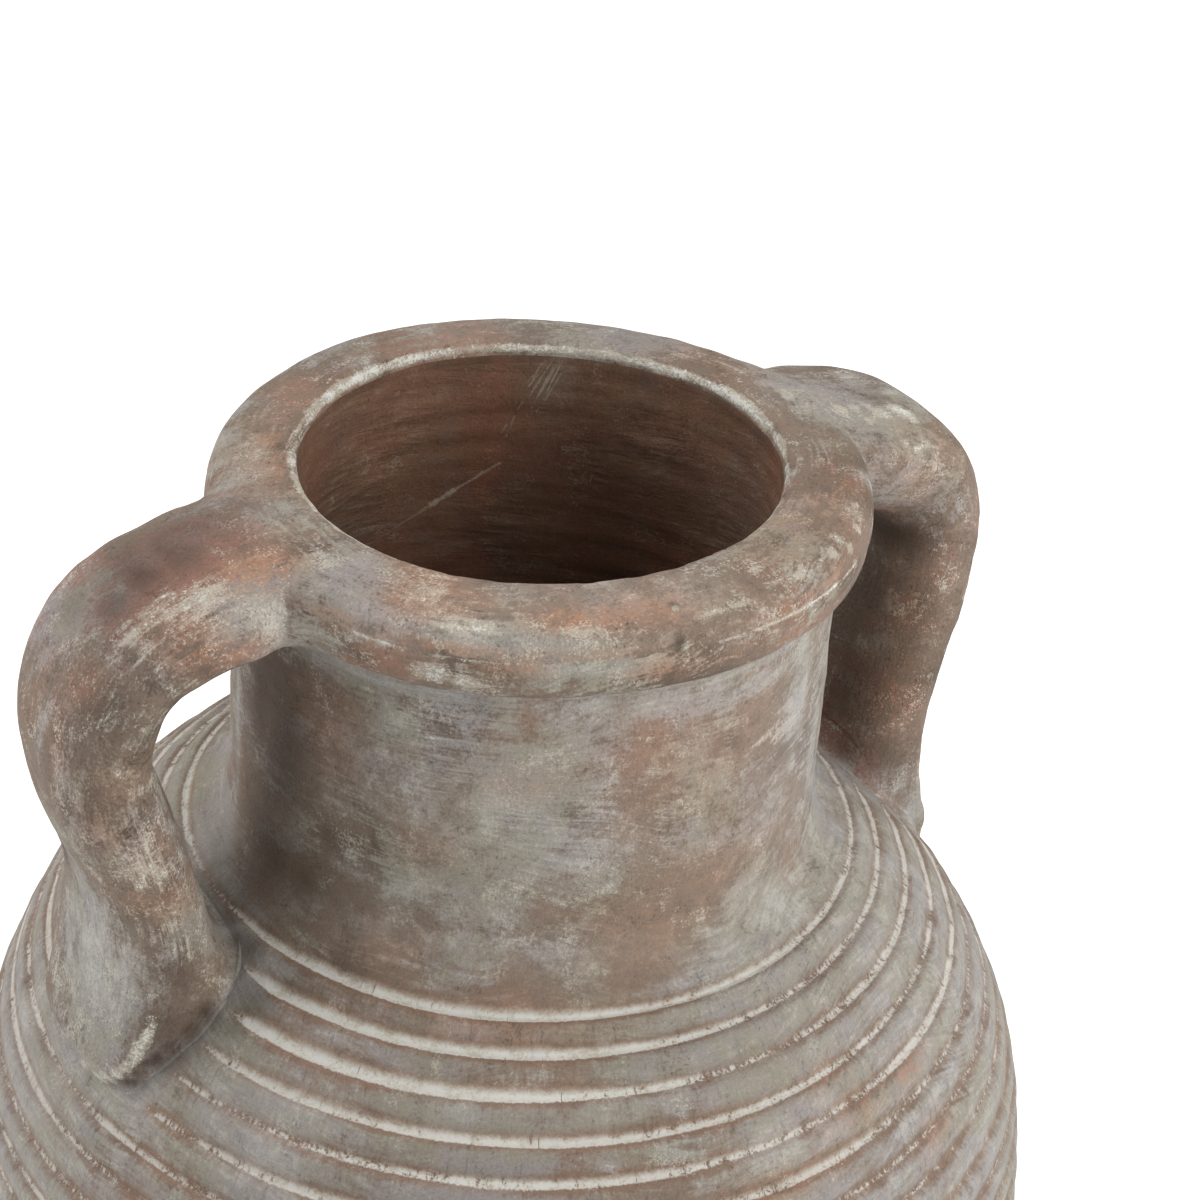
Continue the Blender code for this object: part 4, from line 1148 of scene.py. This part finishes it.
def turned_attrs(p, r, d, rib, on, s_line, gap):
    """Vertex values that steer the material on the lathe surface."""
    n, m = p.shape[:2]
    at = warp(p)
    ring = lambda x: np.repeat(np.asarray(x, float)[:, None], m, 1)
    az = np.arctan2(p[..., 1], p[..., 0])
    slant = ring(s_line) + 15.0 * noise(p, 56.0, 91) + 3.0 * noise(p, 19.0, 92)
    brush = np.stack([p[..., 0] * 0.011, p[..., 1] * 0.011, slant * 0.1], -1)
    hair = np.stack([np.cos(az) * 11.0, np.sin(az) * 11.0, ring(s_line) * 0.016], -1)
    a = {
        "rib": ring(rib),
        "rib_on": ring(on) * smooth(gap, 3.0, 10.0),
        "line": line_weight(az, ring(d)) * smooth(gap, 2.5, 14.0),
        "white": patches(at, "white"),
        "warm": patches(at, "warm"),
        "grey": patches(at, "grey"),
        "dark": patches(at, "dark"),
    }
    turn = lambda c: (np.degrees(az) - c + 180.0) % 360.0 - 180.0
    more = np.exp(-(turn(170.0) / 42.0) ** 2) + 0.42 * np.exp(-(turn(108.0) / 40.0) ** 2) + 0.45 * np.exp(-(turn(2.0) / 34.0) ** 2)
    mouth = np.clip(1.30 - np.abs(ring(s_line) - 1.9 - 1.0 * more) / (1.5 + 1.25 * more), 0, 1) * ring((d < 4.0) * (r < 72.5))
    a["white"] = np.maximum(a["white"], mouth * np.clip(0.80 + 0.26 * noise(p, 15.0, 43) + 0.16 * noise(p, 4.0, 44), 0.5, 0.92))
    # the wash lies thicker on one side of the neck and shoulder
    lee = np.exp(-((np.degrees(az) + 42.0) / 34.0) ** 2) * ring(smooth(d, 21.0, 30.0) * (1 - 0.5 * smooth(d, 210.0, 300.0)))
    a["grey"] = np.maximum(a["grey"], 0.42 * lee)
    # a paler wash over one side of the belly, partly painted light falling on that side
    pale = np.exp(-(turn(176.0) / 30.0) ** 2) * ring(smooth(d, 150.0, 172.0) * (1 - smooth(d, 215.0, 270.0)))
    a["grey"] = np.maximum(a["grey"], 0.34 * pale)
    a["dark"] = np.maximum(a["dark"], 0.18 * np.exp(-(turn(-112.0) / 27.0) ** 2) * ring(smooth(d, 112.0, 120.0)))
    junction = ring(np.maximum(bump1(d, 23.5, 1.6), bump1(d, 26.4, 1.7)) * (r < 84.5)) * (0.75 + 0.35 * noise(p, 24.0, 45))
    a["grey"] = np.maximum(a["grey"], 0.8 * junction)
    a["warm"] = np.maximum(a["warm"], ring(bump1(d, 7.5, 2.2) * (r > 85)) * (0.40 + 0.40 * noise(p, 30.0, 41)))
    a["white"] = np.maximum(a["white"], ring(bump1(d, 9.8, 0.7) * (r > 86)) * np.clip(0.30 + 0.7 * noise(p, 16.0, 42), 0, 0.8))
    a["grey"] = np.maximum(a["grey"], 0.5 * (1 - smooth(gap, 4.0, 20.0)))
    out = {k: x.reshape(-1) for k, x in a.items()}
    out["brush"], out["hair"] = brush.reshape(-1, 3), hair.reshape(-1, 3)
    return out


S_LINE = arc(np.stack([ROW_R, ROW_D], -1))


def build_inside():
    r, d = IN_ROWS[:, 0], IN_ROWS[:, 1]
    p = rings(r, d)
    n = -grid_normals(p)
    n[...] = np.where((n[..., :1] * COS[None, :, None] + n[..., 1:2] * SIN[None, :, None]) > 0, -n, n)
    wipe = 0.35 * noise(p, (30.0, 30.0, 4.5), 51) + 0.20 * noise(p, (16.0, 16.0, 2.0), 52)
    p2 = warp(p + n * wipe[..., None])
    return p, p2, -grid_normals(p2)


IN_RAW, P_IN, N_IN = build_inside()


def inner_attrs(p):
    az = np.arctan2(p[..., 1], p[..., 0])
    deep = HEIGHT - p[..., 2]
    at = warp(p)
    brush = np.stack([p[..., 0] * 0.013, p[..., 1] * 0.013, (p[..., 2] + 6.0 * np.sin(az * 2.0)) * 0.1], -1)
    hair = np.stack([np.cos(az) * 9.0, np.sin(az) * 9.0, deep * 0.016], -1)
    a = {
        "rib": np.full(p.shape[:-1], -20.0), "rib_on": np.zeros(p.shape[:-1]),
        "line": np.zeros(p.shape[:-1]),
        "white": patches(at, "white"), "warm": patches(at, "warm"),
        # the bore turns a little darker further down from the mouth
        "grey": patches(at, "grey"), "dark": np.maximum(patches(at, "dark"), 0.22 + 0.10 * smooth(deep, 4.0, 40.0)),
    }
    out = {k: x.reshape(-1) for k, x in a.items()}
    out["brush"], out["hair"] = brush.reshape(-1, 3), hair.reshape(-1, 3)
    return out


def turned_piece(name, node, mat, i0, i1, k0, k1, open_top=False):
    """A closed ring from outer rows i0..i1 and inner rows k0..k1, its end faces set back a little."""
    outer, inner = P_OUT[i0:i1 + 1], P_IN[k0:k1 + 1]
    na, nb, m = len(outer), len(inner), COLS
    verts = [outer.reshape(-1, 3), inner.reshape(-1, 3)]
    nrm = [N_OUT[i0:i1 + 1].reshape(-1, 3), N_IN[k0:k1 + 1].reshape(-1, 3)]
    a = turned_attrs(P_RAW[i0:i1 + 1], ROW_R[i0:i1 + 1], ROW_D[i0:i1 + 1], ROW_RIB[i0:i1 + 1], ROW_ON[i0:i1 + 1],
                     S_LINE[i0:i1 + 1], FOOT_GAP[i0:i1 + 1])
    b = inner_attrs(IN_RAW[k0:k1 + 1])
    faces = []
    for i in range(na - 1):
        faces += ring_quads(i * m, (i + 1) * m, m)
    off = na * m
    in_from = len(faces)
    for i in range(nb - 1):
        faces += ring_quads(off + (i + 1) * m, off + i * m, m)
    if open_top:
        faces += ring_quads(off, 0, m)
    in_to = len(faces)
    total = (na + nb) * m
    attr = {k: [a[k], b[k]] for k in a}

    def cap(ra, rb, lift, flip):
        """End face between an outer and an inner ring through a set-back ring."""
        nonlocal total, faces
        pa, pb = verts[0][ra * m:(ra + 1) * m], verts[1][rb * m:(rb + 1) * m]
        mids = []
        for f in (0.12, 0.88):
            mid = pa * (1 - f) + pb * f
            mid[:, 2] += lift
            mids.append(mid)
        start = total
        for mid in mids:
            verts.append(mid)
            nrm.append(np.zeros((m, 3)))
            for k in attr:
                attr[k].append(a[k][ra * m:(ra + 1) * m])
        total += 2 * m
        chain = [ra * m, start, start + m, off + rb * m]
        for x, y in zip(chain[:-1], chain[1:]):
            faces += ring_quads(y, x, m) if flip else ring_quads(x, y, m)

    if not open_top:
        cap(0, 0, -0.5, True)
    cap(na - 1, nb - 1, 0.5, False)
    return make_mesh(name, np.vstack(verts), faces, np.vstack(nrm), {k: np.concatenate(x) for k, x in attr.items()},
                     node, mat, MATS["inside"], (in_from, in_to))


n_lip, n_neck, n_up, n_low = IN_CUT
turned_piece("lip_clay", "rim_ring", MATS["rim"], 0, CUT["lip"], 0, n_lip - 1, open_top=True)
turned_piece("neck_clay", "neck_collar", MATS["neck"], CUT["lip"], CUT["neck"], n_lip - 1, n_neck - 1)
turned_piece("shoulder_clay", "upper_body", MATS["body"], CUT["neck"], CUT["belly"], n_neck - 1, n_up - 1)
turned_piece("belly_clay", "lower_body", MATS["body"], CUT["belly"], CUT["body"], n_up - 1, n_low - 1)


def base_piece():
    i0 = CUT["body"]
    outer = P_OUT[i0:]
    na, m = len(outer), COLS
    top = [(92.0, 395.6), (82.0, 394.6), (78.0, 393.0), (73.0, 392.2), (60.0, 392.0), (45.0, 392.0), (30.0, 392.0), (15.0, 392.0), (4.0, 392.0)]
    q = rings([x[0] for x in top], [x[1] for x in top])
    inner = q.copy()
    inner[..., 2] += 0.5 * noise(q, 16.0, 61) * (np.array([x[0] for x in top]) < 75)[:, None]
    verts = np.vstack([outer.reshape(-1, 3), inner.reshape(-1, 3), [[0, 0, 0.0]], [[0, 0, HEIGHT - 392.0]]])
    a = turned_attrs(P_RAW[i0:], ROW_R[i0:], ROW_D[i0:], ROW_RIB[i0:], ROW_ON[i0:], S_LINE[i0:], FOOT_GAP[i0:])
    b = inner_attrs(q)
    attr = {k: np.concatenate([a[k], b[k], a[k][-1:], b[k][-1:]]) for k in a}
    nrm = np.vstack([N_OUT[i0:].reshape(-1, 3), np.zeros((len(top) * m + 2, 3))])
    nrm[:na * m][P_RAW[i0:].reshape(-1, 3)[:, 2] < 0.005] = (0, 0, -1)
    faces = []
    for i in range(na - 1):
        faces += ring_quads(i * m, (i + 1) * m, m)
    off = na * m
    faces += ring_quads(off, 0, m)
    in_from = len(faces)
    for i in range(len(top) - 1):
        faces += ring_quads(off + (i + 1) * m, off + i * m, m)
    in_to = len(faces)
    c0, c1 = off + len(top) * m, off + len(top) * m + 1
    last, lin_ = (na - 1) * m, off + (len(top) - 1) * m
    for j in range(m):
        k = (j + 1) % m
        faces.append([last + j, c0, last + k])
        faces.append([lin_ + k, c1, lin_ + j])
    make_mesh("base_clay", verts, faces, nrm, attr, "base_slab", MATS["base"], MATS["inside"], (in_from, in_to))


base_piece()


# ----------------------------------------------------------------- the straps and their feet
def strap_ends(st, u):
    """Place along the strap, for each angle, where its skin is well under the shoulder's skin."""
    tt = np.linspace(0.66, 1.0, 320)
    p, _ = st.surface(tt[:, None], u[None, :])
    d = pot_dist(p)
    deep = np.argmax(d < -4.0, axis=0)
    deep = np.where((d < -4.0).any(0), deep, len(tt) - 1)
    hit = np.argmax(d < 0.0, axis=0)
    hit = np.where((d < 0.0).any(0), hit, len(tt) - 2)
    return tt[deep], tt[hit]


def strap_dents(p):
    return 0.55 * noise(p, 26.0, 71) + 0.26 * noise(p, 10.0, 72) + grain(p, 1.1)


def build_strap(side):
    st = STRAPS[side]
    u = 2 * np.pi * np.arange(STRAP_COLS) / STRAP_COLS + np.pi
    end, _ = strap_ends(st, u)
    f = np.linspace(0.0, 1.0, STRAP_ROWS)
    t = f[:, None] * end[None, :]
    p, n = st.surface(t, np.repeat(u[None], STRAP_ROWS, 0))
    raw = p.copy()
    upper = f < 0.5
    dl = np.zeros(p.shape[:-1])
    dl[upper] = settle(p[upper], n[upper], st.dist, pot_dist, ROOT_FILLET, 0.8)
    free = smooth(pot_dist(p), -2.0, 6.0)
    p2 = warp(p + n * (dl + strap_dents(p) * free)[..., None])
    nn = grid_normals(p2)
    right_way = (nn * n).sum(-1).mean() > 0
    nn = nn if right_way else -nn
    rows, cols = STRAP_ROWS, STRAP_COLS
    verts = p2.reshape(-1, 3)
    first, last = p2[0].mean(0), p2[-1].mean(0)
    verts = np.vstack([verts, first[None], last[None]])
    normals = np.vstack([nn.reshape(-1, 3), np.zeros((2, 3))])
    faces = []
    for i in range(rows - 1):
        faces += ring_quads(i * cols, (i + 1) * cols, cols)
    c0, c1 = rows * cols, rows * cols + 1
    for j in range(cols):
        k = (j + 1) % cols
        faces.append([k, c0, j])
        faces.append([(rows - 1) * cols + j, c1, (rows - 1) * cols + k])
    if not right_way:
        faces = [q[::-1] for q in faces]
    length = np.interp(t, st.t, arc(np.stack([st.rho, st.dep], -1)))
    uu = np.repeat(u[None], rows, 0)
    brush = np.stack([np.cos(uu) * 2.2, np.sin(uu) * 2.2, length * 0.013], -1)
    hair = np.stack([np.cos(uu) * 2.6, np.sin(uu) * 2.6, length * 0.016], -1)
    a = {
        "rib": np.full(t.shape, -20.0), "rib_on": np.zeros(t.shape), "line": np.zeros(t.shape),
        "white": patches(p2, "white"), "warm": patches(p2, "warm"), "grey": patches(p2, "grey"), "dark": patches(p2, "dark"),
    }
    attr = {k: np.concatenate([x.reshape(-1), x[0, :1], x[-1, :1]]) for k, x in a.items()}
    attr["brush"] = np.vstack([brush.reshape(-1, 3), brush[0, :1], brush[-1, :1]])
    attr["hair"] = np.vstack([hair.reshape(-1, 3), hair[0, :1], hair[-1, :1]])
    make_mesh(side + "_strap_clay", verts, faces, normals, attr, side + "_handle", MATS["handle"])


def to_pot(p, level=0.0):
    """Drop points on the smooth turned outside, at the given height over it."""
    q = np.array(p, float)
    for _ in range(4):
        d = pot_dist(q)
        e = 0.5
        g = np.stack([pot_dist(q + np.eye(3)[k] * e) - pot_dist(q - np.eye(3)[k] * e) for k in range(3)], -1)
        g /= np.maximum(np.linalg.norm(g, axis=-1), 1e-6)[..., None]
        q -= (d - level)[..., None] * g
    return q, g


def build_lute(side):
    """The smeared collar of clay round the foot of a strap: feathered up the strap, with a low ledge on the shoulder."""
    st = STRAPS[side]
    cols = 168
    u = 2 * np.pi * np.arange(cols) / cols + np.pi
    _, hit = strap_ends(st, u)
    for _ in range(3):
        hit = (np.roll(hit, 1) + 2 * hit + np.roll(hit, -1)) / 4
    x, nx = st.surface(hit, u)
    cu, su = np.cos(u), np.sin(u) * st.front              # cu: outer face, su: the side towards the viewer of the front
    wob = lambda k, seed: k * noise(x, 14.0, seed)
    tip = smooth(cu, 0.35, 0.9)
    low = smooth(cu, -0.35, 0.25) * smooth(su, -0.2, 0.4)  # the front edge towards the tip, pressed flush
    reach = 1.9 + 7.0 * smooth(-su, 0.1, 0.9) * (1 - 0.7 * tip) + 1.5 * smooth(-cu, 0.6, 1.0) - 0.9 * tip - 0.7 * low + wob(0.6, 81)
    climb = 3.6 + 8.0 * smooth(-su, 0.1, 0.9) * (1 - 0.6 * tip) + 3.0 * smooth(-cu, 0.2, 0.9) - 1.6 * tip + wob(0.8, 82)
    lap = smooth(su, 0.2, 0.6) * (1.0 - smooth(cu, 0.1, 0.5))    # a ragged lap of slip on the front only
    ledge = 0.10 + 0.60 * lap * smooth(noise(x, 9.0, 83), -0.35, 0.45)
    speed = np.interp(hit, st.t, np.gradient(arc(np.stack([st.rho, st.dep], -1)), st.t))
    top_t = hit - climb / speed
    a, na = st.surface(top_t, u)
    dent = strap_dents(a) * smooth(pot_dist(a), -2.0, 6.0)
    _, g = to_pot(x)
    tang = np.roll(x, -1, 0) - np.roll(x, 1, 0)
    out = np.cross(tang, g)
    out /= np.linalg.norm(out, axis=-1)[:, None]
    centre = x.mean(0)
    out *= np.sign((out * (x - centre)).sum(-1))[:, None]
    b, gb = to_pot(x + out * reach[:, None])
    mid = x + 0.35 * (nx + g)
    rows = []
    rows.append(a - na * 1.2 - (np.array([0, 0, -1.0]) * 0.0))
    rows.append(a + na * (0.05 + dent)[:, None])
    lift = b + gb * np.maximum(ledge, 0.06)[:, None]
    for f in np.linspace(0.08, 0.94, 15):
        q = (1 - f) ** 2 * a + 2 * f * (1 - f) * mid + f * f * lift
        swell = 0.36 * math.sin(math.pi * f)
        rows.append(q + swell * ((1 - f) * na + f * gb) + na * (dent * (1 - f) ** 2)[:, None])
    rows.append(lift + out * 0.1)
    rows.append(b + out * 0.55 + gb * 0.45 * np.maximum(ledge, 0.06)[:, None])
    rows.append(b + out * 0.75 - gb * 0.5)
    p = np.array(rows)
    raw = p.copy()
    nvis = len(rows)
    skin = np.zeros(p.shape[:-1])
    skin[2:-2] = (grain(p[2:-2], 1.2) + 0.35 * noise(p[2:-2], 9.0, 84)) * smooth(np.arange(nvis - 4), -0.5, 6.0)[:, None]
    nn0 = grid_normals(p)
    if (nn0[4] * nx).sum(-1).mean() < 0:
        nn0 = -nn0
    p = p + nn0 * skin[..., None]
    hid1 = b - gb * 3.2 - out * 2.0
    hid2 = x - g * 3.4 - out * 5.0
    hid3 = a - na * 3.4
    p = np.concatenate([p, np.array([hid1, hid2, hid3])])
    raw = np.concatenate([raw, np.array([hid1, hid2, hid3])])
    p2 = warp(p)
    nn = grid_normals(p2)
    if (nn[4] * nx).sum(-1).mean() < 0:
        nn = -nn
        order = False
    else:
        order = True
    n_rows = len(p2)
    nn[nvis:] = 0.0
    nn[0], nn[1] = na, na
    raised = smooth(ledge, 0.12, 0.40)[:, None]
    for i in (nvis - 3, nvis - 2, nvis - 1):
        nn[i] = nn[i] * raised + gb * (1.0 - raised)
        nn[i] /= np.maximum(np.linalg.norm(nn[i], axis=-1), 1e-9)[:, None]
    faces = []
    for i in range(n_rows):
        k = (i + 1) % n_rows
        faces += ring_quads(i * cols, k * cols, cols) if order else ring_quads(k * cols, i * cols, cols)
    uu = np.repeat(u[None], n_rows, 0)
    length = np.repeat(np.linspace(0, 24.0, n_rows)[:, None], cols, 1) + 150.0
    brush = np.stack([np.cos(uu) * 3.4, np.sin(uu) * 3.4, length * 0.02], -1)
    hair = np.stack([np.cos(uu) * 3.4, np.sin(uu) * 3.4, length * 0.016], -1)
    down = np.clip(np.arange(n_rows) / (nvis - 1.0), 0, 1)[:, None]
    slip = np.maximum(0.32 * smooth(-su, -0.2, 0.6)[None, :] * smooth(down, 0.0, 0.3), 0.70 * down ** 1.6)
    a_ = {
        "rib": np.full(uu.shape, -20.0), "rib_on": np.zeros(uu.shape), "line": np.zeros(uu.shape),
        "white": patches(p2, "white"), "warm": patches(p2, "warm"), "grey": np.maximum(patches(p2, "grey"), slip), "dark": patches(p2, "dark"),
    }
    attr = {k: x_.reshape(-1) for k, x_ in a_.items()}
    attr["brush"], attr["hair"] = brush.reshape(-1, 3), hair.reshape(-1, 3)
    make_mesh(side + "_foot_clay", p2.reshape(-1, 3), faces, nn.reshape(-1, 3), attr, side + "_foot_lute", MATS["lute"])


for s in ("right", "left"):
    build_strap(s)
    build_lute(s)


# ----------------------------------------------------------------- floor, light, camera
def floor():
    me = bpy.data.meshes.new("studio_floor")
    e = 9.0
    me.from_pydata([(-e, -e, 0), (e, -e, 0), (e, e, 0), (-e, e, 0)], [], [(0, 1, 2, 3)])
    t = Tree("floor_paper")
    bsdf = t.node("ShaderNodeBsdfPrincipled")
    tc = t.node("ShaderNodeTexCoord")
    speck = t.noise(tc.outputs["Object"], 40.0, 4.0, 0.6)
    t.put(bsdf.inputs["Base Color"], t.mix(t.step(speck, 0.3, 0.7), (0.93, 0.93, 0.925, 1), (0.96, 0.96, 0.955, 1)))
    bsdf.inputs["Roughness"].default_value = 0.9
    bsdf.inputs["Specular IOR Level"].default_value = 0.1
    out = t.node("ShaderNodeOutputMaterial")
    t.nt.links.new(bsdf.outputs["BSDF"], out.inputs["Surface"])
    me.materials.append(t.mat)
    ob = bpy.data.objects.new("studio_floor", me)
    bpy.context.scene.collection.objects.link(ob)


floor()

world = bpy.data.worlds.new("studio")
world.use_nodes = True
bg = world.node_tree.nodes["Background"]
bg.inputs["Color"].default_value = (1.0, 1.0, 1.0, 1.0)
bg.inputs["Strength"].default_value = 0.62
bpy.context.scene.world = world

CAM_POS = Vector((-0.39489779809, -0.6044358605, 0.80375361794))
PITCH_A, ROLL_A, TURN_A = 0.5443139696, 0.0799520893, math.radians(-34.57)


def camera():
    th, ph = PITCH_A, ROLL_A
    right0, up0 = Vector((1, 0, 0)), Vector((0, math.sin(th), math.cos(th)))
    fwd = Vector((0, math.cos(th), -math.sin(th)))
    right = math.cos(ph) * right0 + math.sin(ph) * up0
    up = math.cos(ph) * up0 - math.sin(ph) * right0
    rot = Matrix.Rotation(TURN_A, 3, "Z")
    right, up, fwd = rot @ right, rot @ up, rot @ fwd
    m = Matrix((right, up, -fwd)).transposed().to_4x4()
    m.translation = CAM_POS
    data = bpy.data.cameras.new("camera")
    data.sensor_width = 36.0
    data.lens = 3131.183 / 1200.0 * 36.0
    data.clip_start, data.clip_end = 0.05, 60.0
    ob = bpy.data.objects.new("camera", data)
    ob.matrix_world = m
    bpy.context.scene.collection.objects.link(ob)
    bpy.context.scene.camera = ob


camera()


def soft_light(name, az, el, dist, size, watts, aim=(0, 0, 0.28)):
    """A square soft box at compass angle az (0 is the front of the photograph's view, + to its right)."""
    a = math.radians(az) + math.radians(-34.57) - math.pi / 2
    e = math.radians(el)
    loc = Vector(aim) + dist * Vector((math.cos(a) * math.cos(e), math.sin(a) * math.cos(e), math.sin(e)))
    li = bpy.data.lights.new(name, "AREA")
    li.shape, li.size, li.energy = "SQUARE", size, watts
    ob = bpy.data.objects.new(name, li)
    ob.location = loc
    ob.rotation_euler = (loc - Vector(aim)).to_track_quat("Z", "Y").to_euler()
    bpy.context.scene.collection.objects.link(ob)


soft_light("right_box", 60, 30, 1.7, 1.3, 34.0)
soft_light("left_box", -96, 30, 1.9, 1.3, 30.2)
soft_light("top_box", 160, 74, 2.0, 1.6, 13.0)

bpy.context.scene.view_settings.view_transform = "Standard"
